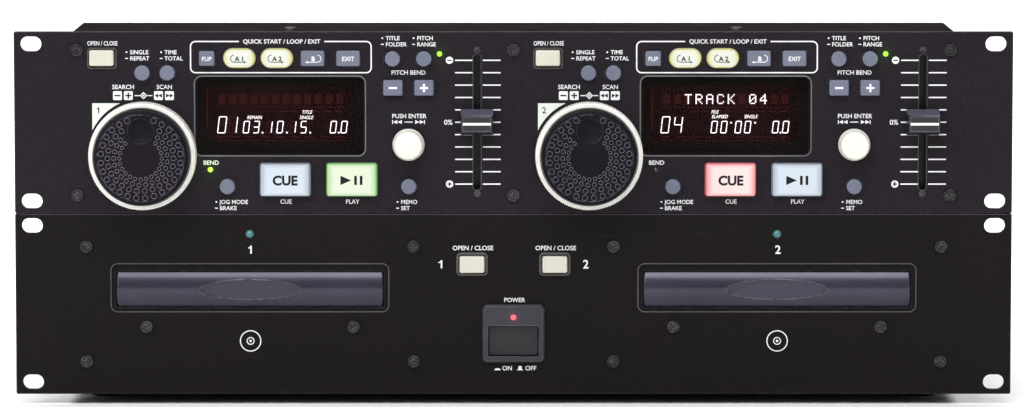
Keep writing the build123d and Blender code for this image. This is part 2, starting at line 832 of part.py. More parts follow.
def make_controller_screws():
    """Every screw of the controller that shows."""
    with BuildPart() as screws:
        add_screws(facing(controller_z), controller_screw_places(), panel_screw_diameter,
                   panel_screw_head, panel_screw_head_height, panel_screw_length)
        fader_places = [place for deck in decks for place in fader_screw_places(deck)]
        add_screws(facing(controller_z), fader_places, fader_screw_diameter,
                   fader_screw_head, fader_screw_head_height, panel_screw_length)
        add_screws(Plane.XY.offset(controller_z + panel_height / 2), top_screw_places(),
                   panel_screw_diameter, panel_screw_head, panel_screw_head_height,
                   panel_screw_length - panel_thickness)
    save(screws, "controller_screws")


def make_drive_panel():
    """The drive's front panel, with a rim behind each tray opening and bosses for the board."""
    with BuildPart() as panel:
        panel_blank(drive_z)
        with BuildSketch(facing(drive_z, -panel_thickness)):
            with Locations(*[(tray_x(deck), tray_rise) for deck in decks]):
                RectangleRounded(tray_opening[0] + 2 * tray_rim_wall,
                                 tray_opening[1] + 2 * tray_rim_wall,
                                 tray_opening_radius + tray_rim_wall)
        extrude(amount=-tray_rim_depth)
        with BuildSketch(facing(drive_z)):
            with Locations(*[(tray_x(deck), tray_rise) for deck in decks]):
                RectangleRounded(tray_opening[0], tray_opening[1], tray_opening_radius)
        extrude(amount=-(panel_thickness + tray_rim_depth), mode=Mode.SUBTRACT)
        with BuildSketch(facing(drive_z)):
            for key in drive_keys:
                with Locations(key.place):
                    key_face(key, key_gap)
            with Locations((0, -bezel_drop)):
                RectangleRounded(bezel_size[0] - 2 * bezel_insert_margin + 2 * cover_clearance,
                                 bezel_size[1] - 2 * bezel_insert_margin + 2 * cover_clearance,
                                 bezel_corner_radius)
        extrude(amount=-panel_thickness, mode=Mode.SUBTRACT)
        lamp_places = [(tray_x(deck), status_lamp_rise) for deck in decks]
        cut_holes(drive_z, lamp_places, status_lamp_diameter + 2 * running_clearance)
        cut_holes(drive_z, drive_screw_places(), panel_screw_diameter + 2 * screw_clearance)
        with BuildSketch(facing(drive_z, -panel_thickness)):
            with Locations(*front_boss_places()):
                Circle(board_boss_diameter / 2)
        extrude(amount=-board_depth)
    save(panel, "drive_front_panel")


def front_boss_places():
    """Places of the four bosses that carry the drive's front board."""
    return [(side * front_boss_offset, rise) for side in (-1, 1)
            for rise in (front_boss_rise, -front_boss_drop)]


def make_chassis():
    """The drive's base: floor, front, rear and side walls folded from sheet."""
    height = cover_top_z - sheet_thickness - chassis_bottom_z
    length = drive_depth - panel_thickness
    middle_y = rear_wall_y - length / 2
    opening_top = drive_key_rise + drive_key_size[1] / 2 + key_flange_margin + front_window_margin
    opening_bottom = front_boss_drop + board_boss_diameter / 2 + front_window_margin
    with BuildPart() as chassis:
        with BuildSketch(Plane.XY.offset(chassis_bottom_z)):
            with Locations((0, middle_y)):
                Rectangle(drive_case_width, length)
        extrude(amount=height)
        with BuildSketch(Plane.XY.offset(chassis_bottom_z + sheet_thickness)):
            with Locations((0, middle_y)):
                Rectangle(drive_case_width - 2 * sheet_thickness, length - 2 * sheet_thickness)
        extrude(amount=height, mode=Mode.SUBTRACT)
        with BuildSketch(facing(drive_z, -panel_thickness)):
            with Locations(*[(tray_x(deck), tray_rise) for deck in decks]):
                RectangleRounded(tray_opening[0] + 2 * (tray_rim_wall + cover_clearance),
                                 tray_opening[1] + 2 * (tray_rim_wall + cover_clearance),
                                 tray_opening_radius + tray_rim_wall)
            with Locations((0, (opening_top - opening_bottom) / 2)):
                Rectangle(2 * (front_board_half_width - front_window_margin),
                          opening_top + opening_bottom)
            with Locations(*drive_screw_places()):
                Circle(panel_screw_diameter / 2 + thread_clearance)
            with Locations(*[(tray_x(deck), status_lamp_rise) for deck in decks]):
                Circle(status_lamp_diameter / 2 + guide_clearance)
        extrude(amount=-sheet_thickness, mode=Mode.SUBTRACT)
        with BuildSketch(rearward()):
            with Locations((inlet_at[0], inlet_at[1])):
                Rectangle(inlet_body[0] + 2 * cover_clearance, inlet_body[1] + 2 * cover_clearance)
            with Locations(*jack_places()):
                Circle(jack_diameter / 2 + cover_clearance)
            with Locations(*link_socket_places()):
                Circle(link_socket_diameter / 2 + cover_clearance)
        extrude(amount=sheet_thickness, mode=Mode.SUBTRACT)
        with BuildSketch(Plane.XY.offset(chassis_bottom_z + sheet_thickness)):
            with Locations(*main_boss_places()):
                Circle(main_boss_diameter / 2)
        extrude(amount=main_board_standoff)
        cut_side_holes(thread_clearance)
    save(chassis, "drive_chassis")


def jack_places():
    """Places of the round signal jacks on the rear wall, two rows of four."""
    first = jack_centre_x - (jack_columns - 1) / 2 * jack_pitch
    return [(first + column * jack_pitch, jack_rise + row * jack_pitch)
            for column in range(jack_columns) for row in (0, 1)]


def link_socket_places():
    """Places of the two sockets for the controller's link leads."""
    return [(link_socket_centre_x + side * link_socket_pitch / 2, jack_rise) for side in (-1, 1)]


def main_board_y():
    """Middle of the main board, front to back."""
    return rear_wall_y - sheet_thickness - main_board_rear_gap - main_board_size[1] / 2


def main_boss_places():
    """Places of the floor bosses that carry the main board."""
    return [(side * (main_board_size[0] / 2 - main_boss_diameter), main_board_y() + end
             * (main_board_size[1] / 2 - main_boss_diameter)) for side in (-1, 1) for end in (-1, 1)]


def make_top_cover():
    """The drive's lid: a flat top with lips down both sides and rows of vents near the rear."""
    length = drive_depth - panel_thickness
    middle_y = rear_wall_y - length / 2
    outer_width = drive_case_width + 2 * (sheet_thickness + cover_clearance)
    vent_y = rear_wall_y - vent_rear_margin - vent_length / 2
    with BuildPart() as cover:
        with BuildSketch(Plane.XY.offset(cover_top_z - cover_lip)):
            with Locations((0, middle_y)):
                Rectangle(outer_width, length)
        extrude(amount=cover_lip)
        fillet(cover.edges().filter_by(Axis.Y).group_by(Axis.Z)[-1], case_bend_radius)
        with BuildSketch(Plane.XY.offset(cover_top_z - cover_lip)):
            with Locations((0, middle_y)):
                Rectangle(drive_case_width + 2 * cover_clearance, length)
        extrude(amount=cover_lip - sheet_thickness, mode=Mode.SUBTRACT)
        with BuildSketch(Plane.XY.offset(cover_top_z)):
            for side in (-1, 1):
                with Locations((side * vent_centre_x, vent_y)):
                    with GridLocations(vent_pitch, 1, vent_count, 1):
                        SlotOverall(vent_length, vent_width, rotation=90)
        extrude(amount=-sheet_thickness, mode=Mode.SUBTRACT)
        cut_side_holes(screw_clearance)
    save(cover, "drive_top_cover")


def make_feet():
    """Four round rubber feet under the drive's floor."""
    front_y = panel_face_y + foot_front_setback
    rear_y = rear_wall_y - foot_rear_setback
    with BuildPart() as feet:
        with BuildSketch(Plane.XY):
            with Locations(*[(side * foot_span_x / 2, y) for side in (-1, 1) for y in (front_y, rear_y)]):
                Circle(foot_diameter / 2)
        extrude(amount=chassis_bottom_z)
        fillet(feet.edges().group_by(Axis.Z)[0], foot_edge_radius)
    save(feet, "rubber_feet")


def make_power_bezel():
    """The raised frame round the power button, with its insert through the panel."""
    insert = [size - 2 * bezel_insert_margin for size in bezel_size]
    with BuildPart() as bezel:
        with BuildSketch(facing(drive_z)):
            with Locations((0, -bezel_drop)):
                RectangleRounded(bezel_size[0], bezel_size[1], bezel_corner_radius)
        extrude(amount=bezel_proud)
        chamfer(bezel.faces().sort_by(Axis.Y)[0].edges(), bezel_bevel)
        with BuildSketch(facing(drive_z)):
            with Locations((0, -bezel_drop)):
                RectangleRounded(insert[0], insert[1], bezel_corner_radius)
        extrude(amount=-bezel_depth)
        with BuildSketch(facing(drive_z, bezel_proud)):
            with Locations((0, -power_button_drop)):
                RectangleRounded(power_button_size[0] + 2 * guide_clearance,
                                 power_button_size[1] + 2 * guide_clearance, key_corner_radius)
            with Locations((0, -power_lamp_drop)):
                Circle(lamp_diameter / 2 + running_clearance)
        extrude(amount=-(bezel_proud + bezel_depth), mode=Mode.SUBTRACT)
    save(bezel, "power_switch_bezel")


def make_power_button():
    """The latching power button at its pressed-in place, with the stem of its switch."""
    with BuildPart() as button:
        with BuildSketch(facing(drive_z, -power_button_sink)):
            with Locations((0, -power_button_drop)):
                RectangleRounded(power_button_size[0], power_button_size[1], key_corner_radius)
        extrude(amount=-(power_button_length - power_button_sink))
        fillet(button.faces().sort_by(Axis.Y)[0].edges(), key_edge_radius / 2)
        with BuildSketch(facing(drive_z, -power_button_length)):
            with Locations((0, -power_button_drop)):
                Rectangle(power_stem_size, power_stem_size)
        extrude(amount=-power_stem_length)
    save(button, "power_button")


def make_disc_tray(deck):
    """A disc tray and its door: two recesses for the discs, side ribs that run in the loader."""
    x = tray_x(deck)
    front_y = panel_face_y + door_back + door_clip_gap
    disc_y = panel_face_y + disc_centre_behind
    plate_width = tray_width - 2 * tray_rib_width
    length = tray_length - door_clip_gap
    door_rise = tray_rise - tray_door_drop
    door_z = drive_z + door_rise
    crest_y = panel_face_y - tray_door_proud
    with BuildPart() as tray:
        with BuildSketch(Plane.XY.offset(tray_floor_z)):
            with Locations((x, front_y + length / 2)):
                Rectangle(plate_width, length)
        extrude(amount=tray_height)
        with BuildSketch(Plane.XY.offset(tray_floor_z + tray_height / 2 - tray_rib_height / 2)):
            with Locations((x, front_y + length / 2)):
                Rectangle(tray_width, length)
        extrude(amount=tray_rib_height)
        with BuildSketch(Plane.XY.offset(tray_floor_z + tray_height)):
            with Locations((x, disc_y)):
                Circle(disc_radius)
        extrude(amount=-disc_recess_depth, mode=Mode.SUBTRACT)
        with BuildSketch(Plane.XY.offset(tray_floor_z + tray_height - disc_recess_depth)):
            with Locations((x, disc_y)):
                Circle(small_disc_diameter / 2 + disc_margin)
        extrude(amount=-small_disc_recess_depth, mode=Mode.SUBTRACT)
        with BuildSketch(Plane.XY.offset(tray_floor_z)):
            with Locations((x, disc_y + (tray_slot_rear - tray_slot_front) / 2)):
                RectangleRounded(tray_slot_width, tray_slot_front + tray_slot_rear, tray_slot_radius)
        extrude(amount=tray_height, mode=Mode.SUBTRACT)
        with BuildSketch(Plane.YZ.offset(x - tray_door_size[0] / 2)):
            with BuildLine():
                back_y = panel_face_y + door_back
                low = door_z - tray_door_size[1] / 2
                high = door_z + tray_door_size[1] / 2
                shoulder_y = crest_y + tray_door_bulge
                Polyline((shoulder_y, low), (back_y, low), (back_y, high), (shoulder_y, high))
                ThreePointArc((shoulder_y, high), (crest_y, door_z), (shoulder_y, low))
            make_face()
        extrude(amount=tray_door_size[0])
        door = tray.solids().sort_by(Axis.Y)[0]
        ends = door.edges().filter_by(GeomType.CIRCLE)
        fillet(ends, tray_door_end_radius)
        with BuildSketch(facing(drive_z, tray_door_proud)):
            with Locations((x, door_rise)):
                Ellipse(thumb_recess[0] / 2, thumb_recess[1] / 2)
        extrude(amount=-thumb_recess_depth, mode=Mode.SUBTRACT)
    save(tray, f"disc_tray_{deck}")


def add_loader(deck):
    """One disc loader: rail frame, clamp bridge, traverse with motor, sled and rods."""
    x = tray_x(deck)
    front_y = panel_face_y + loader_front
    length = loader_rear - loader_front
    middle_y = front_y + length / 2
    disc_y = panel_face_y + disc_centre_behind
    inner = tray_width - 2 * tray_rib_width + 2 * tray_rail_clearance
    outer = inner + 2 * loader_wall
    wall_top = drive_z + tray_rise + loader_wall_rise
    rib_low = tray_floor_z + tray_height / 2 - tray_rib_height / 2 - tray_rail_clearance
    traverse_z = loader_base_z + loader_base_thickness + damper_height
    with BuildSketch(Plane.XY.offset(loader_base_z)) as outline:
        with Locations((x, middle_y)):
            Rectangle(outer, length)
    extrude(outline.sketch, amount=wall_top - loader_base_z)
    with BuildSketch(Plane.XY.offset(loader_base_z + loader_base_thickness)) as outline:
        with Locations((x, middle_y)):
            Rectangle(inner, length)
    extrude(outline.sketch, amount=wall_top - loader_base_z, mode=Mode.SUBTRACT)
    with BuildSketch(Plane.XY.offset(rib_low)) as outline:
        with Locations((x, middle_y)):
            Rectangle(tray_width + 2 * tray_rail_clearance, length)
    extrude(outline.sketch, amount=tray_rib_height + 2 * tray_rail_clearance, mode=Mode.SUBTRACT)
    with BuildSketch(Plane.XY.offset(loader_base_z)) as outline:
        with Locations((x, middle_y)):
            with GridLocations(outer - 2 * loader_pillar_inset, length - 2 * loader_pillar_inset, 2, 2):
                Circle(loader_pillar_diameter / 2)
    extrude(outline.sketch, amount=-(loader_base_z - chassis_bottom_z - sheet_thickness))
    with BuildSketch(facing(drive_z, -panel_thickness - sheet_thickness)) as outline:
        for side in (-1, 1):
            with Locations((x + side * loader_screw_offset, -loader_screw_drop)):
                Circle(loader_lug_diameter / 2)
    extrude(outline.sketch, amount=-(loader_front - panel_thickness - sheet_thickness + loader_wall))
    with BuildSketch(facing(drive_z, -panel_thickness - sheet_thickness)) as outline:
        for side in (-1, 1):
            with Locations((x + side * loader_screw_offset, -loader_screw_drop)):
                Circle(panel_screw_diameter / 2 + thread_clearance)
    extrude(outline.sketch, amount=-panel_screw_length, mode=Mode.SUBTRACT)
    with BuildSketch(facing(drive_z, -loader_front)) as outline:
        with Locations((x, -loader_screw_drop)):
            with GridLocations(2 * loader_screw_offset, 1, 2, 1):
                Rectangle(loader_lug_diameter * 2, loader_lug_diameter)
    extrude(outline.sketch, amount=-loader_wall)
    with BuildSketch(facing(drive_z, -loader_front - loader_wall)) as outline:
        with Locations((x, loader_base_z - drive_z + loader_base_thickness + loader_lug_diameter / 2)):
            Rectangle(2 * loader_screw_offset + loader_lug_diameter * 2, loader_lug_diameter)
    extrude(outline.sketch, amount=loader_wall)
    with BuildSketch(Plane.XY.offset(wall_top)) as outline:
        with Locations((x, disc_y)):
            Rectangle(outer, bridge_width)
            Circle(clamper_neck_diameter / 2 + guide_clearance, mode=Mode.SUBTRACT)
    extrude(outline.sketch, amount=bridge_thickness)
    add_clamper(x, disc_y, wall_top)
    add_traverse(x, disc_y, traverse_z)
    add_loading_motor(x, front_y, inner)


def add_clamper(x, y, bridge_z):
    """The clamper that hangs in the bridge: a disc below it, a neck and a cap above it."""
    cap_z = bridge_z + bridge_thickness + clamper_hang
    with BuildSketch(Plane.XY.offset(cap_z)) as outline:
        with Locations((x, y)):
            Circle(clamper_diameter / 2 - clamper_cap_inset)
    extrude(outline.sketch, amount=sheet_thickness)
    with BuildSketch(Plane.XY.offset(cap_z)) as outline:
        with Locations((x, y)):
            Circle(clamper_neck_diameter / 2)
    extrude(outline.sketch, amount=-(bridge_thickness + 2 * clamper_hang))
    with BuildSketch(Plane.XY.offset(bridge_z - clamper_hang)) as outline:
        with Locations((x, y)):
            Circle(clamper_diameter / 2)
    extrude(outline.sketch, amount=-clamper_height)


def add_traverse(x, disc_y, plate_z):
    """The traverse plate on its dampers, with turntable, spindle motor, rods and sled."""
    plate_y = disc_y + traverse_size[1] / 2 - turntable_diameter
    plate_top = plate_z + traverse_thickness
    hub_top = tray_floor_z - turntable_clearance
    platter_z = hub_top - turntable_hub_height - turntable_thickness
    with BuildSketch(Plane.XY.offset(plate_z)) as outline:
        with Locations((x, plate_y)):
            Rectangle(traverse_size[0], traverse_size[1])
    extrude(outline.sketch, amount=traverse_thickness)
    with BuildSketch(Plane.XY.offset(plate_z)) as outline:
        with Locations((x, plate_y)):
            with GridLocations(traverse_size[0] - damper_diameter,
                               traverse_size[1] - damper_diameter, 2, 2):
                Circle(damper_diameter / 2)
    extrude(outline.sketch, amount=-(damper_height - cover_clearance))
    with BuildSketch(Plane.XY.offset(plate_top)) as outline:
        with Locations((x, disc_y)):
            Circle(spindle_motor_diameter / 2)
    extrude(outline.sketch, amount=platter_z - plate_top - cover_clearance)
    with BuildSketch(Plane.XY.offset(platter_z)) as outline:
        with Locations((x, disc_y)):
            Circle(turntable_diameter / 2)
    extrude(outline.sketch, amount=turntable_thickness)
    with BuildSketch(Plane.XY.offset(hub_top - turntable_hub_height)) as outline:
        with Locations((x, disc_y)):
            Circle(turntable_hub_diameter / 2)
    extrude(outline.sketch, amount=turntable_hub_height)
    add_sled(x, disc_y + turntable_diameter / 2 + sled_front_gap, plate_y + traverse_size[1] / 2, plate_top)


def add_sled(x, rod_front, rod_rear, plate_top):
    """The pickup sled on its two rods, which lie in blocks at both ends of the traverse."""
    middle_y = (rod_front + rod_rear) / 2
    rod_z = plate_top + sled_rod_rise / 2
    with BuildSketch(Plane.XY.offset(plate_top)) as outline:
        with Locations((x, middle_y)):
            with GridLocations(sled_rod_span, rod_rear - rod_front - rod_block_length, 2, 2):
                Rectangle(rod_block_length, rod_block_length)
    extrude(outline.sketch, amount=sled_rod_rise)
    with BuildSketch(Plane.XY.offset(plate_top + sled_floor_gap)) as outline:
        with Locations((x, middle_y)):
            Rectangle(sled_size[0], sled_size[1])
    extrude(outline.sketch, amount=sled_size[2])
    with BuildSketch(Plane.XY.offset(plate_top + sled_floor_gap + sled_size[2])) as outline:
        with Locations((x, middle_y - lens_offset)):
            Circle(lens_diameter / 2)
    extrude(outline.sketch, amount=lens_height)
    for radius, mode in ((sled_rod_diameter / 2 + running_clearance, Mode.SUBTRACT),
                         (sled_rod_diameter / 2, Mode.ADD)):
        with BuildSketch(Plane(origin=(x, rod_front, rod_z), x_dir=(1, 0, 0), z_dir=(0, 1, 0))) as outline:
            with GridLocations(sled_rod_span, 1, 2, 1):
                Circle(radius)
        extrude(outline.sketch, amount=rod_rear - rod_front, mode=mode)


def add_loading_motor(x, front_y, inner):
    """The small motor that drives the tray, standing on the loader's floor near the front."""
    motor_x = x + inner / 2 - loading_motor_diameter
    motor_y = front_y + loader_wall + loading_motor_diameter
    floor_z = loader_base_z + loader_base_thickness
    with BuildSketch(Plane.XY.offset(floor_z)) as outline:
        with Locations((motor_x, motor_y)):
            Circle(loading_motor_diameter / 2)
    extrude(outline.sketch, amount=loading_motor_length)
    with BuildSketch(Plane.XY.offset(floor_z + loading_motor_length)) as outline:
        with Locations((motor_x, motor_y)):
            Circle(loading_pulley_diameter / 2)
    extrude(outline.sketch, amount=loading_pulley_height)


def make_loaders():
    """Both disc loaders."""
    with BuildPart() as loaders:
        for deck in decks:
            add_loader(deck)
    save(loaders, "disc_loaders")


def make_drive_boards():
    """Front board, main board, transformer, rear jacks and mains inlet of the drive."""
    strip_middle = status_lamp_rise
    board_top = strip_middle + front_board_strip / 2
    with BuildPart() as boards:
        with BuildSketch(facing(drive_z, -board_face)):
            with Locations((0, strip_middle)):
                Rectangle(tray_pitch + 2 * front_board_overhang, front_board_strip)
            with Locations((0, (board_top - front_board_drop) / 2)):
                Rectangle(2 * front_board_half_width, board_top + front_board_drop)
        extrude(amount=-board_thickness)
        add_switches(drive_z, [key.place for key in drive_keys])
        with BuildSketch(facing(drive_z, -board_face)):
            with Locations((0, -power_button_drop)):
                Rectangle(power_switch_width, power_stem_size)
        extrude(amount=board_face - power_button_length - power_stem_length
                - power_button_over_travel - switch_gap)
        add_lamps(drive_z, [(tray_x(deck), status_lamp_rise) for deck in decks], status_lamp_diameter)
        with BuildSketch(facing(drive_z, -board_face)):
            with Locations((0, -power_lamp_drop)):
                Circle(lamp_diameter / 2)
        extrude(amount=board_face + bezel_proud)
        floor_z = chassis_bottom_z + sheet_thickness
        with BuildSketch(Plane.XY.offset(floor_z + main_board_standoff)):
            with Locations((0, main_board_y())):
                Rectangle(main_board_size[0], main_board_size[1])
        extrude(amount=board_thickness)
        add_transformer(floor_z)
        add_jacks()
        add_inlet()
    save(boards, "drive_boards")


def add_transformer(floor_z):
    """The mains transformer between the loaders: iron core with its winding bobbin."""
    y = panel_face_y + transformer_setback + transformer_size[1] / 2
    with BuildSketch(Plane.XY.offset(floor_z)) as outline:
        with Locations((0, y)):
            Rectangle(transformer_size[0], transformer_size[1])
    extrude(outline.sketch, amount=transformer_size[2])
    bobbin_z = floor_z + (transformer_size[2] - transformer_bobbin[2]) / 2
    with BuildSketch(Plane.XY.offset(bobbin_z)) as outline:
        with Locations((0, y)):
            RectangleRounded(transformer_bobbin[0], transformer_bobbin[1], loader_wall)
    extrude(outline.sketch, amount=transformer_bobbin[2])


def add_jacks():
    """Round signal jacks and link sockets in blocks that lie against the rear wall."""
    block_y = -sheet_thickness
    middle_z = jack_rise + jack_pitch / 2
    with BuildSketch(rearward(block_y)) as outline:
        with Locations((jack_centre_x, middle_z)):
            Rectangle(jack_plate_size[0], jack_plate_size[1])
        with Locations((link_socket_centre_x, jack_rise)):
            Rectangle(2 * link_socket_pitch, link_socket_diameter + 2 * sheet_thickness)
    extrude(outline.sketch, amount=jack_block_depth)
    with BuildSketch(rearward(jack_reach)) as outline:
        with Locations(*jack_places()):
            Circle(jack_diameter / 2)
            Circle(jack_bore / 2, mode=Mode.SUBTRACT)
    extrude(outline.sketch, amount=jack_reach + sheet_thickness)
    with BuildSketch(rearward(link_socket_reach)) as outline:
        with Locations(*link_socket_places()):
            Circle(link_socket_diameter / 2)
    extrude(outline.sketch, amount=link_socket_reach + sheet_thickness)
    with BuildSketch(rearward(link_socket_reach)) as outline:
        with Locations(*link_socket_places()):
            Circle(link_socket_face / 2)
    extrude(outline.sketch, amount=link_socket_recess, mode=Mode.SUBTRACT)


def add_inlet():
    """The mains inlet: a flanged socket through the rear wall with three flat pins inside."""
    with BuildSketch(rearward(inlet_flange_thickness)) as outline:
        with Locations(inlet_at):
            RectangleRounded(inlet_flange[0], inlet_flange[1], bezel_corner_radius)
    extrude(outline.sketch, amount=inlet_flange_thickness)
    with BuildSketch(rearward()) as outline:
        with Locations(inlet_at):
            Rectangle(inlet_body[0], inlet_body[1])
    extrude(outline.sketch, amount=inlet_depth + inlet_wall - inlet_flange_thickness)
    with BuildSketch(rearward(inlet_flange_thickness)) as outline:
        with Locations(inlet_at):
            RectangleRounded(inlet_mouth[0], inlet_mouth[1], bezel_corner_radius)
    extrude(outline.sketch, amount=inlet_depth, mode=Mode.SUBTRACT)
    with BuildSketch(rearward(inlet_flange_thickness - inlet_depth)) as outline:
        with Locations(inlet_at):
            with GridLocations(2 * inlet_pin_pitch, 1, 2, 1):
                Rectangle(inlet_pin_size[0], inlet_pin_size[1])
        with Locations((inlet_at[0], inlet_at[1] + inlet_pin_size[1])):
            Rectangle(inlet_pin_size[0], inlet_pin_size[1])
    extrude(outline.sketch, amount=-inlet_pin_length)


def side_face(side):
    """Plane on the outside of the top cover's lip, and the places of its screws there."""
    x = side * (drive_case_width / 2 + sheet_thickness + cover_clearance)
    z = cover_top_z - cover_lip / 2
    rows = (panel_face_y + foot_front_setback, rear_wall_y - foot_rear_setback)
    plane = Plane(origin=(x, 0, 0), x_dir=(0, 1, 0), z_dir=(side, 0, 0))
    return plane, [(y, side * z) for y in rows]


def cut_side_holes(clearance):
    """Holes for the top cover's side screws through whatever the builder holds there."""
    for side in (-1, 1):
        plane, places = side_face(side)
        with BuildSketch(plane) as outline:
            with Locations(*places):
                Circle(panel_screw_diameter / 2 + clearance)
        extrude(outline.sketch, amount=-side_screw_length, mode=Mode.SUBTRACT)


def make_drive_screws():
    """Every screw of the drive that shows: front panel, cover sides."""
    with BuildPart() as screws:
        add_screws(facing(drive_z), drive_screw_places(), panel_screw_diameter, panel_screw_head,
                   panel_screw_head_height, panel_screw_length)
        for side in (-1, 1):
            plane, places = side_face(side)
            add_screws(plane, places, panel_screw_diameter, panel_screw_head,
                       panel_screw_head_height, side_screw_length)
    save(screws, "drive_screws")


make_controller_panel()
make_controller_case()
make_windows()
make_controller_board()
make_controller_screws()
for deck in decks:
    for key in deck_keys:
        make_key(key, deck, controller_z, deck_place(deck, key.place))
    make_jog_wheel(deck)
    make_shuttle_ring(deck)
    make_select_shaft(deck)
    make_select_knob(deck)
    make_fader_cap(deck)
make_drive_panel()
make_chassis()
make_top_cover()
make_feet()
make_power_bezel()
make_power_button()
make_loaders()
make_drive_boards()
make_drive_screws()
for deck, key in zip(decks, drive_keys):
    make_key(key, deck, drive_z, key.place)
    make_disc_tray(deck)
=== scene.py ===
"""Looks of a rack disc player: a remote controller standing on its twin disc drive.

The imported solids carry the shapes. This script dresses each of them, adds the printed
legends, the lit displays, the grip texture and the thin trims that sit on them, and
sets the stage, the lights and the camera. Lengths in the sheets of ink are millimetres,
measured in the frame of the solids, and everything handed to Blender is in metres.
"""

import json
import logging
import math
from dataclasses import dataclass, field
from enum import Enum
from typing import Callable, Iterable, Optional, Sequence

import bmesh
import bpy
from mathutils import Matrix, Vector

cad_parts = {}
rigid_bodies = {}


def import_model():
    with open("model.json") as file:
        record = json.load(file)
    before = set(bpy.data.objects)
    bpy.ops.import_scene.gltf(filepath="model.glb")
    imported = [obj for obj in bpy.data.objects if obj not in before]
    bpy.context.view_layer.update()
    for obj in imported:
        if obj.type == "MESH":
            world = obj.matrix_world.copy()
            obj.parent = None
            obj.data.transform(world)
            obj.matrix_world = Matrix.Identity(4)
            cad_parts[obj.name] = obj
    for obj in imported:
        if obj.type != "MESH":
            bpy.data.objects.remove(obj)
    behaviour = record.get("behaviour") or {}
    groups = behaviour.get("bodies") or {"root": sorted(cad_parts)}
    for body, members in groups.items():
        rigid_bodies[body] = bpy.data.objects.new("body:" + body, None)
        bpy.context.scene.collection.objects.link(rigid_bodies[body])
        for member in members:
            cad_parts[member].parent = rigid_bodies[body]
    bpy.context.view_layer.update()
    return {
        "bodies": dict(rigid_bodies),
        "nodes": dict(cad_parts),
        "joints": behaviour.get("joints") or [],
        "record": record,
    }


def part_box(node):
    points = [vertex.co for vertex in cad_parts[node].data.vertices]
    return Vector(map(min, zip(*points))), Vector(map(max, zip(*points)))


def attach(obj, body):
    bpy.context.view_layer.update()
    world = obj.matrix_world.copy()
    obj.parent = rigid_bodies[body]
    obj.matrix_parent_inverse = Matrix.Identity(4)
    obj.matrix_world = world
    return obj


Colour = tuple[float, float, float, float]
Point = tuple[float, float]
Socket = bpy.types.NodeSocket
MM = 0.001
DECKS = (1, 2)

log = logging.getLogger("disc_player")


# ---------------------------------------------------------------- small helpers
def srgb(red: int, green: int, blue: int) -> Colour:
    """Linear colour of an 8-bit display colour."""
    shares = [v / 255 for v in (red, green, blue)]
    linear = [s / 12.92 if s <= 0.04045 else ((s + 0.055) / 1.055) ** 2.4 for s in shares]
    return (linear[0], linear[1], linear[2], 1.0)


def middle(node: str) -> Point:
    """Centre of a CAD node across the panels, (x, z) in millimetres."""
    low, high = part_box(node)
    return ((low.x + high.x) / 2 / MM, (low.z + high.z) / 2 / MM)


def front(node: str) -> float:
    """Foremost point of a CAD node along Y, in millimetres."""
    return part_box(node)[0].y / MM


def shifted(place: Point, across: float = 0.0, up: float = 0.0) -> Point:
    """A place moved across and up."""
    return (place[0] + across, place[1] + up)


def polar(centre: Point, reach: float, turn: float) -> Point:
    """A place this far from a centre, at a turn in radians from the right towards the top."""
    return (centre[0] + reach * math.cos(turn), centre[1] + reach * math.sin(turn))


# ---------------------------------------------------------------- node groups
class Effect(Enum):
    """The surface effects that several materials share."""

    GRAIN = "fine_grain"
    DRIFT = "tone_drift"
    WEAR = "edge_wear"
    DUST = "settled_dust"


class NodeSheet:
    """A node tree under construction."""

    def __init__(self, tree: bpy.types.NodeTree) -> None:
        """Keep the tree that the nodes go into."""
        self.tree = tree

    def add(self, kind: str, **settings: object) -> bpy.types.Node:
        """Add a node with some of its properties set."""
        node = self.tree.nodes.new(kind)
        for key, value in settings.items():
            setattr(node, key, value)
        return node

    def join(self, source: Socket, target: Socket) -> None:
        """Link two sockets."""
        self.tree.links.new(source, target)

    def blend(self, share: Socket, first: Socket, second: Socket | Colour) -> Socket:
        """Mix one colour towards another.

        Args:
            share: socket that gives the second colour's share.
            first: the first colour's socket.
            second: the second colour, as a socket or as a fixed colour.

        Returns:
            The mixed colour's socket.
        """
        mix = self.add("ShaderNodeMix", data_type="RGBA")
        colours = [s for s in mix.inputs if s.type == "RGBA"]
        self.join(share, mix.inputs[0])
        self.join(first, colours[0])
        if isinstance(second, tuple):
            colours[1].default_value = second
        else:
            self.join(second, colours[1])
        return [s for s in mix.outputs if s.type == "RGBA"][0]


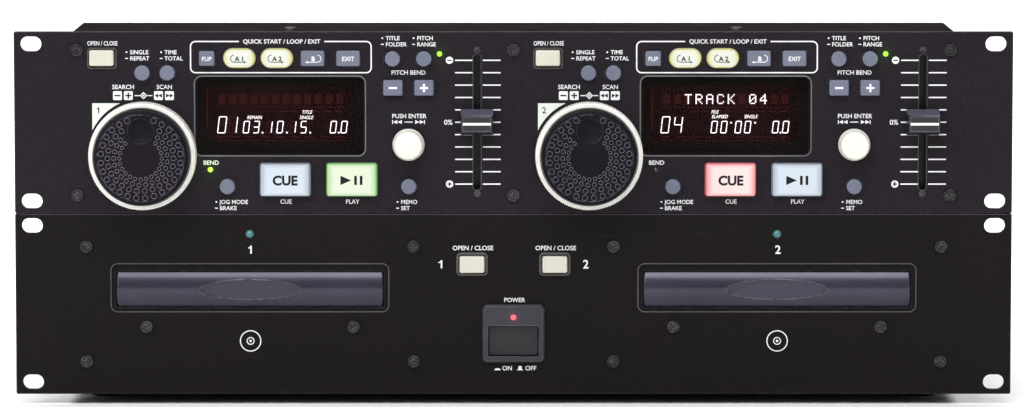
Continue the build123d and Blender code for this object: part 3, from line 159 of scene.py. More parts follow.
class EffectGroup(NodeSheet):
    """A shader node group under construction, with its named sockets."""

    def __init__(self, effect: Effect) -> None:
        """Open an empty group for one effect."""
        super().__init__(bpy.data.node_groups.new(effect.value, "ShaderNodeTree"))
        self.entry = self.tree.nodes.new("NodeGroupInput")
        self.exit = self.tree.nodes.new("NodeGroupOutput")

    def takes(self, name: str, default: float | Colour) -> None:
        """Add an input socket with its default, a value or a colour."""
        kind = "NodeSocketColor" if isinstance(default, tuple) else "NodeSocketFloat"
        socket = self.tree.interface.new_socket(name, in_out="INPUT", socket_type=kind)
        socket.default_value = default

    def gives(self, name: str, kind: str = "NodeSocketFloat") -> None:
        """Add an output socket, for a value unless another kind is named."""
        self.tree.interface.new_socket(name, in_out="OUTPUT", socket_type=kind)

    def noise(self, scale: Socket, detail: float) -> Socket:
        """Noise over the piece's own coordinates.

        Args:
            scale: socket that gives the repeats per metre.
            detail: octaves of the noise.

        Returns:
            The noise's value socket.
        """
        where = self.add("ShaderNodeTexCoord")
        noise = self.add("ShaderNodeTexNoise")
        noise.inputs["Detail"].default_value = detail
        self.join(where.outputs["Object"], noise.inputs["Vector"])
        self.join(scale, noise.inputs["Scale"])
        return noise.outputs["Fac"]

    def ranged(self, value: Socket, low: float, high: float) -> Socket:
        """Stretch the span from low to high over 0 to 1 and clamp it."""
        span = self.add("ShaderNodeMapRange", interpolation_type="SMOOTHSTEP")
        span.inputs["From Min"].default_value = low
        span.inputs["From Max"].default_value = high
        self.join(value, span.inputs["Value"])
        return span.outputs["Result"]

    def times(self, first: Socket, second: Socket) -> Socket:
        """Multiply two values."""
        product = self.add("ShaderNodeMath", operation="MULTIPLY")
        self.join(first, product.inputs[0])
        self.join(second, product.inputs[1])
        return product.outputs[0]


def build_grain() -> bpy.types.NodeTree:
    """Two scales of moulded grain, as a height and a speckle mask."""
    group = EffectGroup(Effect.GRAIN)
    group.takes("Scale", 900.0)
    group.takes("Fine Scale", 2600.0)
    group.gives("Height")
    group.gives("Speckle")
    coarse = group.noise(group.entry.outputs["Scale"], 3.0)
    fine = group.noise(group.entry.outputs["Fine Scale"], 2.0)
    blend = group.add("ShaderNodeMath", operation="ADD")
    group.join(coarse, blend.inputs[0])
    group.join(fine, blend.inputs[1])
    group.join(blend.outputs[0], group.exit.inputs["Height"])
    group.join(group.ranged(fine, 0.35, 0.7), group.exit.inputs["Speckle"])
    return group.tree


def build_drift() -> bpy.types.NodeTree:
    """A colour that drifts slowly towards a second one over the surface."""
    group = EffectGroup(Effect.DRIFT)
    group.takes("Colour", (0.5, 0.5, 0.5, 1.0))
    group.takes("Drift Colour", (0.4, 0.4, 0.4, 1.0))
    group.takes("Scale", 30.0)
    group.gives("Colour", "NodeSocketColor")
    share = group.ranged(group.noise(group.entry.outputs["Scale"], 4.0), 0.3, 0.7)
    blended = group.blend(share, group.entry.outputs["Colour"], group.entry.outputs["Drift Colour"])
    group.join(blended, group.exit.inputs["Colour"])
    return group.tree


def build_wear() -> bpy.types.NodeTree:
    """Lighter edges, part rubbed wear and part painted highlight: a mask where the surface turns within a
    small radius, broken by noise.
    """
    group = EffectGroup(Effect.WEAR)
    group.takes("Radius", 0.0004)
    group.takes("Break Up Scale", 400.0)
    group.gives("Mask")
    rounded = group.add("ShaderNodeBevel", samples=4)
    group.join(group.entry.outputs["Radius"], rounded.inputs["Radius"])
    surface = group.add("ShaderNodeNewGeometry")
    dot = group.add("ShaderNodeVectorMath", operation="DOT_PRODUCT")
    group.join(rounded.outputs["Normal"], dot.inputs[0])
    group.join(surface.outputs["Normal"], dot.inputs[1])
    turned = group.add("ShaderNodeMath", operation="SUBTRACT")
    turned.inputs[0].default_value = 1.0
    group.join(dot.outputs["Value"], turned.inputs[1])
    edge = group.ranged(turned.outputs[0], 0.01, 0.16)
    patches = group.ranged(group.noise(group.entry.outputs["Break Up Scale"], 4.0), 0.35, 0.6)
    group.join(group.times(edge, patches), group.exit.inputs["Mask"])
    return group.tree


def build_dust() -> bpy.types.NodeTree:
    """Fine dust that settles on faces that look up."""
    group = EffectGroup(Effect.DUST)
    group.takes("Scale", 60.0)
    group.takes("Amount", 0.2)
    group.gives("Mask")
    surface = group.add("ShaderNodeNewGeometry")
    parts = group.add("ShaderNodeSeparateXYZ")
    group.join(surface.outputs["Normal"], parts.inputs[0])
    upward = group.ranged(parts.outputs["Z"], 0.6, 1.0)
    cloud = group.ranged(group.noise(group.entry.outputs["Scale"], 6.0), 0.3, 0.8)
    dusty = group.times(upward, cloud)
    group.join(group.times(dusty, group.entry.outputs["Amount"]), group.exit.inputs["Mask"])
    return group.tree


GROUP_BUILDERS: dict[Effect, Callable[[], bpy.types.NodeTree]] = {
    Effect.GRAIN: build_grain,
    Effect.DRIFT: build_drift,
    Effect.WEAR: build_wear,
    Effect.DUST: build_dust,
}


def effect_tree(effect: Effect) -> bpy.types.NodeTree:
    """The group of one effect, built at its first use."""
    found = bpy.data.node_groups.get(effect.value)
    return found if found else GROUP_BUILDERS[effect]()


# ---------------------------------------------------------------- finishes
class Surface(NodeSheet):
    """A material under construction round its own Principled shader."""

    def __init__(self, name: str) -> None:
        """Start a material that holds one shader and its output."""
        self.material = bpy.data.materials.new(name)
        self.material.use_nodes = True
        super().__init__(self.material.node_tree)
        self.shader = self.tree.nodes["Principled BSDF"]

    def place(self, effect: Effect, **values: object) -> bpy.types.Node:
        """Put an effect's group in with this material's own values.

        Args:
            effect: which group.
            values: its inputs by name, with an underscore for each space.

        Returns:
            The group node.
        """
        node = self.add("ShaderNodeGroup", node_tree=effect_tree(effect))
        for key, value in values.items():
            node.inputs[key.replace("_", " ")].default_value = value
        return node

    def ranged(self, value: Socket, low: float, high: float) -> Socket:
        """Spread a value from 0 to 1 over the span from low to high."""
        span = self.add("ShaderNodeMapRange")
        span.inputs["To Min"].default_value = low
        span.inputs["To Max"].default_value = high
        self.join(value, span.inputs["Value"])
        return span.outputs["Result"]

    def bump(self, height: Socket, distance: float, strength: float = 1.0) -> None:
        """Bend the shading by a height.

        Args:
            height: socket that gives the height.
            distance: what a height of 1 stands for, in metres.
            strength: share of the effect.
        """
        bump = self.add("ShaderNodeBump")
        bump.inputs["Strength"].default_value = strength
        bump.inputs["Distance"].default_value = distance
        self.join(height, bump.inputs["Height"])
        self.join(bump.outputs["Normal"], self.shader.inputs["Normal"])


@dataclass(frozen=True)
class Look:
    """A named surface, which becomes one Blender material."""

    name: str

    def material(self) -> bpy.types.Material:
        """The Blender material, made at its first use."""
        found = bpy.data.materials.get(self.name)
        if found:
            return found
        surface = Surface(self.name)
        self.dress(surface)
        return surface.material

    def dress(self, surface: Surface) -> None:
        """Set the material's nodes, in each kind's own way."""
        raise NotImplementedError


@dataclass(frozen=True)
class Finish(Look):
    """An opaque surface: its colours, its gloss, its grain and how it has aged.

    The colour drifts towards a second one, edges take a lighter colour that is part rubbed wear and part
    painted highlight, and faces that look up gather dust. Grain scales are repeats per metre and the relief
    is in metres.
    """

    colour: Colour
    drift: Colour
    roughness: float
    roughness_spread: float = 0.08
    metallic: float = 0.0
    specular: float = 0.5
    coat: float = 0.0
    drift_scale: float = 24.0
    grain: float = 900.0
    fine_grain: float = 2600.0
    relief: float = 0.00002
    relief_strength: float = 0.35
    speckled: Optional[Colour] = None
    worn: Optional[Colour] = None
    wear_radius: float = 0.0004
    dust: float = 0.0
    dust_colour: Colour = srgb(150, 146, 142)

    def dress(self, surface: Surface) -> None:
        """Set the shader's constants and link its colour, roughness and normal."""
        shader = surface.shader
        shader.inputs["Metallic"].default_value = self.metallic
        shader.inputs["Specular IOR Level"].default_value = self.specular
        shader.inputs["Coat Weight"].default_value = self.coat
        grain = surface.place(Effect.GRAIN, Scale=self.grain, Fine_Scale=self.fine_grain)
        tone = surface.place(Effect.DRIFT, Colour=self.colour, Drift_Colour=self.drift,
                             Scale=self.drift_scale)
        colour = tone.outputs["Colour"]
        if self.speckled:
            colour = surface.blend(grain.outputs["Speckle"], colour, self.speckled)
        # Lighter edges: rubbed wear, and painted highlight where light would catch them
        if self.worn:
            rubbed_and_highlight_mask = surface.place(Effect.WEAR, Radius=self.wear_radius)
            colour = surface.blend(rubbed_and_highlight_mask.outputs["Mask"], colour, self.worn)
        if self.dust:
            dust = surface.place(Effect.DUST, Amount=self.dust)
            colour = surface.blend(dust.outputs["Mask"], colour, self.dust_colour)
        surface.join(colour, shader.inputs["Base Color"])
        low = self.roughness - self.roughness_spread
        high = self.roughness + self.roughness_spread
        surface.join(surface.ranged(grain.outputs["Speckle"], low, high), shader.inputs["Roughness"])
        surface.bump(grain.outputs["Height"], self.relief, self.relief_strength)


@dataclass(frozen=True)
class LitFinish(Finish):
    """A translucent face lit from inside, brighter in its middle than at its rim."""

    glow: Colour = (1.0, 1.0, 1.0, 1.0)
    rim_glow: Colour = (1.0, 1.0, 1.0, 1.0)
    strength: float = 0.6
    rim_start: float = 0.3
    rim_end: float = 0.46

    def dress(self, surface: Surface) -> None:
        """Add the glow to the plain finish."""
        super().dress(surface)
        where = surface.add("ShaderNodeTexCoord")
        centred = surface.add("ShaderNodeVectorMath", operation="SUBTRACT")
        centred.inputs[1].default_value = (0.5, 0.5, 0.5)
        spread = surface.add("ShaderNodeVectorMath", operation="ABSOLUTE")
        parts = surface.add("ShaderNodeSeparateXYZ")
        farther = surface.add("ShaderNodeMath", operation="MAXIMUM")
        rim = surface.add("ShaderNodeMapRange", interpolation_type="SMOOTHSTEP")
        rim.inputs["From Min"].default_value = self.rim_start
        rim.inputs["From Max"].default_value = self.rim_end
        surface.join(where.outputs["Generated"], centred.inputs[0])
        surface.join(centred.outputs["Vector"], spread.inputs[0])
        surface.join(spread.outputs["Vector"], parts.inputs[0])
        surface.join(parts.outputs["X"], farther.inputs[0])
        surface.join(parts.outputs["Z"], farther.inputs[1])
        surface.join(farther.outputs[0], rim.inputs["Value"])
        base = surface.place(Effect.DRIFT, Colour=self.glow, Drift_Colour=self.glow, Scale=self.drift_scale)
        colour = surface.blend(rim.outputs["Result"], base.outputs["Colour"], self.rim_glow)
        surface.join(colour, surface.shader.inputs["Emission Color"])
        surface.shader.inputs["Emission Strength"].default_value = self.strength


@dataclass(frozen=True)
class GlassFinish(Look):
    """Tinted window glass, smooth but for a faint waviness."""

    tint: Colour
    roughness: float = 0.03
    ior: float = 1.1
    wave_scale: float = 60.0
    wave_relief: float = 0.000004

    def dress(self, surface: Surface) -> None:
        """Make the shader clear and link its tint, roughness and normal."""
        shader = surface.shader
        shader.inputs["Metallic"].default_value = 0.0
        shader.inputs["Transmission Weight"].default_value = 1.0
        shader.inputs["IOR"].default_value = self.ior
        tone = surface.place(Effect.DRIFT, Colour=self.tint, Drift_Colour=self.tint, Scale=self.wave_scale)
        surface.join(tone.outputs["Colour"], shader.inputs["Base Color"])
        grain = surface.place(Effect.GRAIN, Scale=self.wave_scale, Fine_Scale=self.wave_scale)
        surface.join(surface.ranged(grain.outputs["Speckle"], self.roughness, 2 * self.roughness),
                     shader.inputs["Roughness"])
        surface.bump(grain.outputs["Height"], self.wave_relief)


# Painted and moulded surfaces
PANEL_UPPER = Finish("panel_controller", srgb(25, 20, 27), srgb(21, 16, 21), 0.5, specular=0.12,
                     grain=900.0, fine_grain=1700.0, relief=0.00004, relief_strength=0.5,
                     speckled=srgb(38, 33, 40), worn=srgb(105, 101, 107), wear_radius=0.0003)
PANEL_LOWER = Finish("panel_drive", srgb(16, 12, 14), srgb(13, 10, 11), 0.54, specular=0.1,
                     grain=900.0, fine_grain=1700.0, relief=0.00004, relief_strength=0.5,
                     speckled=srgb(28, 23, 26), worn=srgb(96, 93, 96), wear_radius=0.0003)
CASE = Finish("case_black", srgb(35, 30, 33), srgb(31, 27, 30), 0.6, specular=0.0, grain=700.0,
              fine_grain=2400.0, relief=0.00004, relief_strength=0.45, worn=srgb(82, 81, 82), dust=0.02)
RUBBER = Finish("foot_rubber", srgb(20, 19, 19), srgb(26, 25, 24), 0.78, specular=0.3, grain=1300.0,
                relief=0.00006, relief_strength=0.5, dust=0.3)
BEZEL = Finish("bezel_blue_grey", srgb(41, 41, 52), srgb(37, 37, 46), 0.4, grain=1800.0,
               worn=srgb(126, 128, 143), wear_radius=0.0005)
DARK_BUTTON = Finish("power_button_dark", srgb(31, 26, 32), srgb(26, 22, 28), 0.44, grain=1800.0,
                     worn=srgb(71, 66, 77))
CREAM = Finish("key_cream", srgb(205, 203, 191), srgb(198, 195, 180), 0.42, grain=1200.0,
               relief_strength=0.15, worn=srgb(214, 208, 190))
KNOB = Finish("knob_cream", srgb(229, 228, 222), srgb(224, 222, 212), 0.4, grain=1100.0,
              relief_strength=0.15, worn=srgb(222, 217, 202))
BLUE_GREY = Finish("key_blue_grey", srgb(105, 109, 127), srgb(95, 100, 119), 0.45, grain=1500.0,
                   relief_strength=0.4, worn=srgb(141, 146, 163))
JOG = Finish("jog_dark", srgb(28, 24, 30), srgb(23, 20, 26), 0.5, grain=1400.0, relief_strength=0.35,
             specular=0.06, worn=srgb(104, 102, 120), wear_radius=0.0006)
# Raised grip rings: real geometry, with a colour lighter than the wheel's plastic as painted highlight
JOG_RELIEF = Finish("jog_relief_painted_highlight", srgb(92, 86, 102), srgb(79, 75, 89), 0.22, metallic=0.3, coat=0.5,
                    grain=2400.0)
SHUTTLE = Finish("shuttle_cream", srgb(250, 249, 245), srgb(244, 242, 236), 0.4, grain=1200.0,
                 relief_strength=0.15, worn=srgb(214, 209, 196))
# Upper slope and front edge of the fader cap: a lighter copy of its dark plastic as painted highlight
FADER_HIGHLIGHT = Finish("fader_cap_painted_highlight", srgb(84, 84, 102), srgb(76, 76, 93), 0.36, grain=1500.0,
                   worn=srgb(140, 140, 156), wear_radius=0.0005)
FADER = Finish("fader_dark", srgb(23, 21, 25), srgb(20, 18, 22), 0.36, grain=1500.0, coat=0.15,
               worn=srgb(97, 96, 109), wear_radius=0.0005)
STEEL = Finish("shaft_steel", srgb(143, 144, 148), srgb(126, 128, 131), 0.28, metallic=1.0, grain=400.0,
               relief_strength=0.1)
# The light edge colour of the screws paints the highlight ring round their heads
SCREW_BLACK = Finish("screw_black", srgb(49, 47, 50), srgb(39, 37, 40), 0.34, metallic=0.7, grain=1200.0,
                     worn=srgb(126, 124, 126), wear_radius=0.0006)
SCREW_BRIGHT = Finish("screw_nickel", srgb(134, 136, 133), srgb(116, 118, 115), 0.3, metallic=0.9,
                      grain=900.0, worn=srgb(172, 173, 171))
BOARD = Finish("board_green", srgb(27, 62, 40), srgb(22, 52, 35), 0.42, coat=0.3, grain=700.0)
BLACK_PLASTIC = Finish("black_plastic", srgb(22, 21, 23), srgb(17, 17, 18), 0.45, grain=1600.0)
DOOR = Finish("tray_door_grey", srgb(60, 55, 72), srgb(53, 48, 64), 0.3, metallic=0.5, coat=0.15,
              grain=2200.0, relief_strength=0.12, worn=srgb(140, 142, 156), wear_radius=0.0006)
TRAY = Finish("tray_black", srgb(29, 27, 29), srgb(23, 22, 24), 0.5, grain=1100.0)
LOADER = Finish("loader_plastic", srgb(54, 54, 55), srgb(44, 44, 46), 0.5, grain=900.0)
CORE = Finish("transformer_core", srgb(74, 71, 67), srgb(59, 55, 53), 0.5, metallic=0.6, grain=300.0,
              drift_scale=90.0)
BOBBIN = Finish("transformer_tape", srgb(165, 139, 59), srgb(150, 124, 49), 0.5, grain=500.0)
NICKEL = Finish("jack_nickel", srgb(160, 160, 156), srgb(141, 142, 139), 0.24, metallic=1.0, grain=600.0)
JACK_RED = Finish("jack_red", srgb(148, 29, 29), srgb(133, 24, 24), 0.42, grain=1200.0)
JACK_WHITE = Finish("jack_white", srgb(190, 188, 183), srgb(178, 176, 171), 0.42, grain=1200.0)

# Ink, trims with painted highlight and shade, and the dim parts of the displays
WHITE_INK = Finish("legend_white", srgb(236, 236, 238), srgb(222, 222, 226), 0.5, grain=3000.0,
                   relief_strength=0.1)
DARK_INK = Finish("legend_dark", srgb(25, 25, 30), srgb(20, 20, 25), 0.6, specular=0.2, grain=3000.0,
                  relief_strength=0.1)
LABEL = Finish("deck_label", srgb(222, 226, 220), srgb(214, 218, 213), 0.46, grain=1800.0,
               relief_strength=0.1)
# Lip round the display window: real raised geometry, with its light grey colour as painted highlight
WINDOW_EDGE_HIGHLIGHT = Finish("window_rim_painted_highlight", srgb(111, 109, 113), srgb(94, 92, 97), 0.4, metallic=0.4, grain=1500.0)
# Lips round the fader slots and tray openings: real geometry, with their light colour as painted highlight
DIM_EDGE_HIGHLIGHT = Finish("dim_edge_painted_highlight", srgb(87, 84, 86), srgb(74, 71, 73), 0.36, metallic=0.3, grain=1500.0)
# Thin line on the top edge of the drive's panel: painted highlight where overhead light catches it
PANEL_EDGE_HIGHLIGHT = Finish("panel_edge_painted_highlight", srgb(74, 68, 76), srgb(62, 57, 64), 0.45, specular=0.2, grain=1500.0)
# Grey band on the inner rim of the white ring: painted shade
RING_PAINTED_SHADE = Finish("shuttle_inner_painted_shade", srgb(112, 110, 108), srgb(98, 96, 95), 0.5, grain=1500.0)
# Grey key frames; the controller's frame also stands for a painted drop shadow
KEY_FRAME = Finish("key_frame_grey", srgb(77, 76, 74), srgb(66, 64, 63), 0.42, grain=1500.0)
DISPLAY_BACK = Finish("display_back", srgb(19, 11, 10), srgb(15, 8, 7), 0.6, specular=0.2, grain=1500.0)
HAZE = LitFinish("display_haze", srgb(24, 11, 11), srgb(20, 9, 9), 0.6, specular=0.1, grain=700.0,
                 glow=srgb(50, 18, 20), rim_glow=srgb(36, 14, 14), strength=0.4)
GHOST = LitFinish("display_ghost", srgb(64, 25, 27), srgb(55, 21, 22), 0.6, specular=0.2,
                  glow=srgb(120, 40, 44), rim_glow=srgb(120, 40, 44), strength=0.3)

# Lit figures, keys and lamps, and the lamps that are off
DIGITS = LitFinish("display_digits", srgb(232, 236, 240), srgb(222, 228, 234), 0.5,
                   glow=srgb(240, 246, 250), rim_glow=srgb(240, 246, 250), strength=3.2)
CUE_WHITE = LitFinish("key_lit_white", srgb(143, 150, 158), srgb(136, 143, 152), 0.4, relief_strength=0.1,
                      glow=srgb(228, 238, 250), rim_glow=srgb(126, 138, 152), strength=0.5)
PLAY_GREEN = LitFinish("key_lit_green", srgb(144, 150, 134), srgb(136, 148, 126), 0.4, relief_strength=0.1,
                       glow=srgb(240, 250, 226), rim_glow=srgb(120, 200, 92), strength=0.55)
CUE_RED = LitFinish("key_lit_red", srgb(165, 134, 136), srgb(160, 118, 121), 0.4, relief_strength=0.1,
                    glow=srgb(255, 250, 246), rim_glow=srgb(236, 96, 108), strength=0.55)
START_YELLOW = LitFinish("key_lit_yellow", srgb(148, 150, 138), srgb(143, 144, 121), 0.4, relief_strength=0.1,
                         glow=srgb(244, 248, 250), rim_glow=srgb(226, 220, 96), strength=0.55, rim_start=0.22)
LAMP_GREEN = LitFinish("lamp_green_lit", srgb(101, 185, 50), srgb(84, 168, 42), 0.3, coat=0.5,
                       glow=srgb(170, 246, 60), rim_glow=srgb(120, 230, 40), strength=2.2)
LAMP_OFF = Finish("lamp_green_unlit", srgb(34, 49, 30), srgb(29, 42, 26), 0.2, coat=0.8, grain=900.0)
LAMP_TEAL = LitFinish("lamp_teal", srgb(59, 99, 102), srgb(49, 87, 92), 0.16, coat=0.9,
                      glow=srgb(70, 150, 146), rim_glow=srgb(60, 130, 130), strength=0.35)
LAMP_RED = LitFinish("lamp_red_lit", srgb(180, 34, 42), srgb(160, 27, 37), 0.3, coat=0.5,
                     glow=srgb(246, 70, 84), rim_glow=srgb(236, 50, 66), strength=1.6)

# Glass
WINDOW = GlassFinish("window_smoke", srgb(196, 186, 186))


# ---------------------------------------------------------------- mesh building
class Solid:
    """A mesh under construction, which ends as one named piece on one body."""

    def __init__(self) -> None:
        """Start an empty mesh."""
        self.mesh = bmesh.new()

    def loft(self, loops: Sequence[Sequence[Vector]], closed: bool = False) -> None:
        """Skin a row of closed loops, each with as many points, and cap or close its ends.

        Args:
            loops: points of each loop, in metres.
            closed: join the last loop to the first instead of capping both.
        """
        rings = [[self.mesh.verts.new(point) for point in loop] for loop in loops]
        count = len(rings[0])
        pairs = list(zip(rings, rings[1:]))
        if closed:
            pairs.append((rings[-1], rings[0]))
        for lower, upper in pairs:
            for i in range(count):
                j = (i + 1) % count
                self.mesh.faces.new((lower[i], lower[j], upper[j], upper[i]))
        if not closed:
            self.mesh.faces.new(rings[0])
            self.mesh.faces.new(rings[-1])

    def torus(self, centre: Vector, radius: float, tube: float, steps: int, sides: int) -> None:
        """A ring that lies in an XZ plane.

        Args:
            centre: its middle, in metres.
            radius: from the middle to the tube's own middle.
            tube: the tube's radius.
            steps: faces round the ring.
            sides: faces round the tube.
        """
        loops = []
        for step in range(steps):
            turn = 2 * math.pi * step / steps
            loop = []
            for side in range(sides):
                roll = 2 * math.pi * side / sides
                reach = radius + tube * math.cos(roll)
                loop.append(centre + Vector((reach * math.cos(turn), -tube * math.sin(roll),
                                             reach * math.sin(turn))))
            loops.append(loop)
        self.loft(loops, closed=True)

    def piece(self, name: str, finish: Look, body: str, slot: str) -> bpy.types.Object:
        """End the mesh as a piece that rides on a body.

        Args:
            name: the piece's name.
            finish: its surface.
            body: the CAD body it moves with.
            slot: the record's material slot it belongs to; not used.

        Returns:
            The Blender object.
        """
        bmesh.ops.recalc_face_normals(self.mesh, faces=self.mesh.faces)
        data = bpy.data.meshes.new(name)
        self.mesh.to_mesh(data)
        self.mesh.free()
        made = bpy.data.objects.new(name, data)
        bpy.context.scene.collection.objects.link(made)
        data.materials.append(finish.material())
        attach(made, body)
        log.info("%s: %d faces on %s", name, len(data.polygons), body)
        return made


def rounded_outline(centre: Point, width: float, height: float, radius: float, steps: int = 6) -> list[Point]:
    """Points of a rounded rectangle, counter-clockwise, in millimetres."""
    points = []
    corners = ((1, 1, 0.0), (-1, 1, 0.5), (-1, -1, 1.0), (1, -1, 1.5))
    for side, rise, start in corners:
        hub = (centre[0] + side * (width / 2 - radius), centre[1] + rise * (height / 2 - radius))
        for step in range(steps + 1):
            points.append(polar(hub, radius, math.pi * (start + 0.5 * step / steps)))
    return points


def circle(centre: Point, radius: float, steps: int) -> list[Point]:
    """Points of a circle, counter-clockwise, in millimetres."""
    return [polar(centre, radius, 2 * math.pi * i / steps) for i in range(steps)]


class Relief(Solid):
    """Flat shapes of one thickness on a face that looks along -Y, such as printed ink."""

    # Height of a capital at size 1, measured at the first word
    capital_height = 0.0

    def __init__(self, face_y: float, thickness: float = 0.03) -> None:
        """Start an empty sheet.

        Args:
            face_y: where the face lies, in millimetres.
            thickness: how far the shapes stand in front of it.
        """
        super().__init__()
        self.face_y = face_y
        self.thickness = thickness

    def at(self, point: Point, lift: float) -> Vector:
        """A sheet point in metres, this far in front of the face."""
        return Vector((point[0], self.face_y - lift, point[1])) * MM

    def shape(self, outline: Sequence[Point]) -> None:
        """A flat shape with this outline."""
        self.loft([[self.at(p, 0.0) for p in outline], [self.at(p, self.thickness) for p in outline]])

    def bar(self, centre: Point, width: float, height: float) -> None:
        """An upright rectangle."""
        x, z = centre
        w, h = width / 2, height / 2
        self.shape([(x - w, z - h), (x + w, z - h), (x + w, z + h), (x - w, z + h)])

    def disc(self, centre: Point, radius: float, steps: int = 28) -> None:
        """A filled circle."""
        self.shape(circle(centre, radius, steps))

    def band(self, outer: Sequence[Point], inner: Sequence[Point]) -> None:
        """The band between two closed outlines with as many points."""
        self.loft([[self.at(p, 0.0) for p in inner], [self.at(p, 0.0) for p in outer],
                   [self.at(p, self.thickness) for p in outer],
                   [self.at(p, self.thickness) for p in inner]], closed=True)

    def ring(self, centre: Point, outer: float, inner: float, steps: int = 32) -> None:
        """A circular band."""
        self.band(circle(centre, outer, steps), circle(centre, inner, steps))

    def line(self, path: Sequence[Point], width: float) -> None:
        """A line of even width along an open path.

        Args:
            path: its points, in order.
            width: the line's width.
        """
        left, right = [], []
        for i, point in enumerate(path):
            before, after = path[max(i - 1, 0)], path[min(i + 1, len(path) - 1)]
            along = Vector((after[0] - before[0], after[1] - before[1])).normalized()
            reach = width / 2
            # Farther out at a bend, so that the line keeps its width
            if 0 < i < len(path) - 1:
                leg = Vector((after[0] - point[0], after[1] - point[1])).normalized()
                reach /= max(along.dot(leg), 0.5)
            left.append((point[0] - along.y * reach, point[1] + along.x * reach))
            right.append((point[0] + along.y * reach, point[1] - along.x * reach))
        self.shape(left + right[::-1])

    def arrow(self, tip: Point, length: float, height: float) -> None:
        """A solid triangle that points right for a positive length and left for a negative one."""
        self.shape([tip, (tip[0] - length, tip[1] + height / 2), (tip[0] - length, tip[1] - height / 2)])

    def one(self, centre: Point, height: float, stroke: float) -> None:
        """The figure 1: a stem with a flag at its upper left.

        Args:
            centre: its middle.
            height: its height, in millimetres.
            stroke: the stem's width.
        """
        x, z = centre
        half, right = height / 2, x + 0.75 * stroke
        left, flag = right - stroke, right - 2.4 * stroke
        self.shape([(left, z - half), (right, z - half), (right, z + half), (right - 0.8 * stroke, z + half),
                    (left - 0.35 * stroke, z + 0.62 * half), (flag, z + 0.5 * half), (flag, z + 0.28 * half),
                    (left, z + 0.36 * half)])

    def figure(self, text: str, centre: Point, height: float, weight: float) -> None:
        """A printed deck number, with a flag on the 1."""
        if text == "1":
            self.one(centre, height, 0.17 * height + weight)
        else:
            self.words(text, centre, height, weight)

    def words(self, text: str, centre: Point, height: float, weight: float = 0.0, slant: float = 0.0,
              align: str = "CENTER", squeeze: float = 1.0) -> None:
        """Lettering with capitals of this height.

        Args:
            text: what it says.
            centre: middle of the line, or its left end for align LEFT.
            height: height of the capitals, in millimetres.
            weight: extra thickness of the strokes, in millimetres.
            slant: how far the letters lean.
            align: LEFT or CENTER.
            squeeze: width of the letters as a share of the normal one.
        """
        if not Relief.capital_height:
            sample = self.lettering("H", 1.0, 0.0, 0.0, "LEFT")
            Relief.capital_height = max(v.co.y for v in sample.vertices)
            bpy.data.meshes.remove(sample)
        size = height / Relief.capital_height
        mesh = self.lettering(text, size, weight, slant, align)
        lower = self.face_y - self.thickness / 2
        for vertex in mesh.vertices:
            x, up, out = vertex.co
            vertex.co = Vector((centre[0] + x * squeeze, lower - out, centre[1] + up - height / 2)) * MM
        self.mesh.from_mesh(mesh)
        bpy.data.meshes.remove(mesh)

    def lettering(self, text: str, size: float, weight: float, slant: float, align: str) -> bpy.types.Mesh:
        """Mesh of a line of text, in millimetres, that lies in XY and starts at the origin."""
        curve = bpy.data.curves.new("lettering", "FONT")
        curve.body = text
        curve.size = size
        curve.shear = slant
        curve.align_x = align
        curve.offset = weight
        curve.extrude = self.thickness / 2
        curve.resolution_u = 3
        line = bpy.data.objects.new("lettering", curve)
        bpy.context.scene.collection.objects.link(line)
        bpy.context.view_layer.update()
        evaluated = line.evaluated_get(bpy.context.evaluated_depsgraph_get())
        mesh = bpy.data.meshes.new_from_object(evaluated)
        bpy.data.objects.remove(line)
        bpy.data.curves.remove(curve)
        return mesh


class MovingSheet(Relief):
    """A sheet of ink on the foremost face of a key or cap, which moves with it."""

    def __init__(self, node: str, thickness: float = 0.03) -> None:
        """Start an empty sheet on this node."""
        super().__init__(front(node), thickness)
        self.node = node
        self.spot = middle(node)

    def done(self, ink: Finish, slot: str, ending: str = "legend") -> None:
        """End the sheet as a piece that is named after its node."""
        self.piece(f"{self.node}_{ending}", ink, self.node, slot)


def lip(face_y: float, centre: Point, size: Point, radius: float, width: float, proud: float) -> Solid:
    """A thin raised lip with a rounded crest round a rectangular opening or key.

    Args:
        face_y: the face it stands on, in millimetres.
        centre: middle of the opening.
        size: width and height of the opening.
        radius: its corner radius.
        width: how wide the lip is.
        proud: how far it stands in front of the face.

    Returns:
        The lip's mesh, still open for more.
    """
    ring = Solid()
    # Shares of the width and of the height, from the opening's side over the crest
    profile = ((0.0, 0.0), (0.0, 0.7), (0.25, 1.0), (0.75, 1.0), (1.0, 0.7), (1.0, 0.0))
    loops = []
    for out, rise in profile:
        grow = out * width
        outline = rounded_outline(centre, size[0] + 2 * grow, size[1] + 2 * grow, radius + grow)
        loops.append([Vector((x, face_y - rise * proud, z)) * MM for x, z in outline])
    ring.loft(loops, closed=True)
    return ring


# ---------------------------------------------------------------- dressing of the solids
@dataclass(frozen=True)
class Region:
    """Faces of a node that take their own finish: those whose centre, in millimetres, fits."""

    finish: Look
    fits: Callable[[Vector], bool]


def near(place: Point, reach: float) -> Callable[[Vector], bool]:
    """Test for points within this reach of a place across the panels."""
    return lambda p: math.hypot(p.x - place[0], p.z - place[1]) < reach


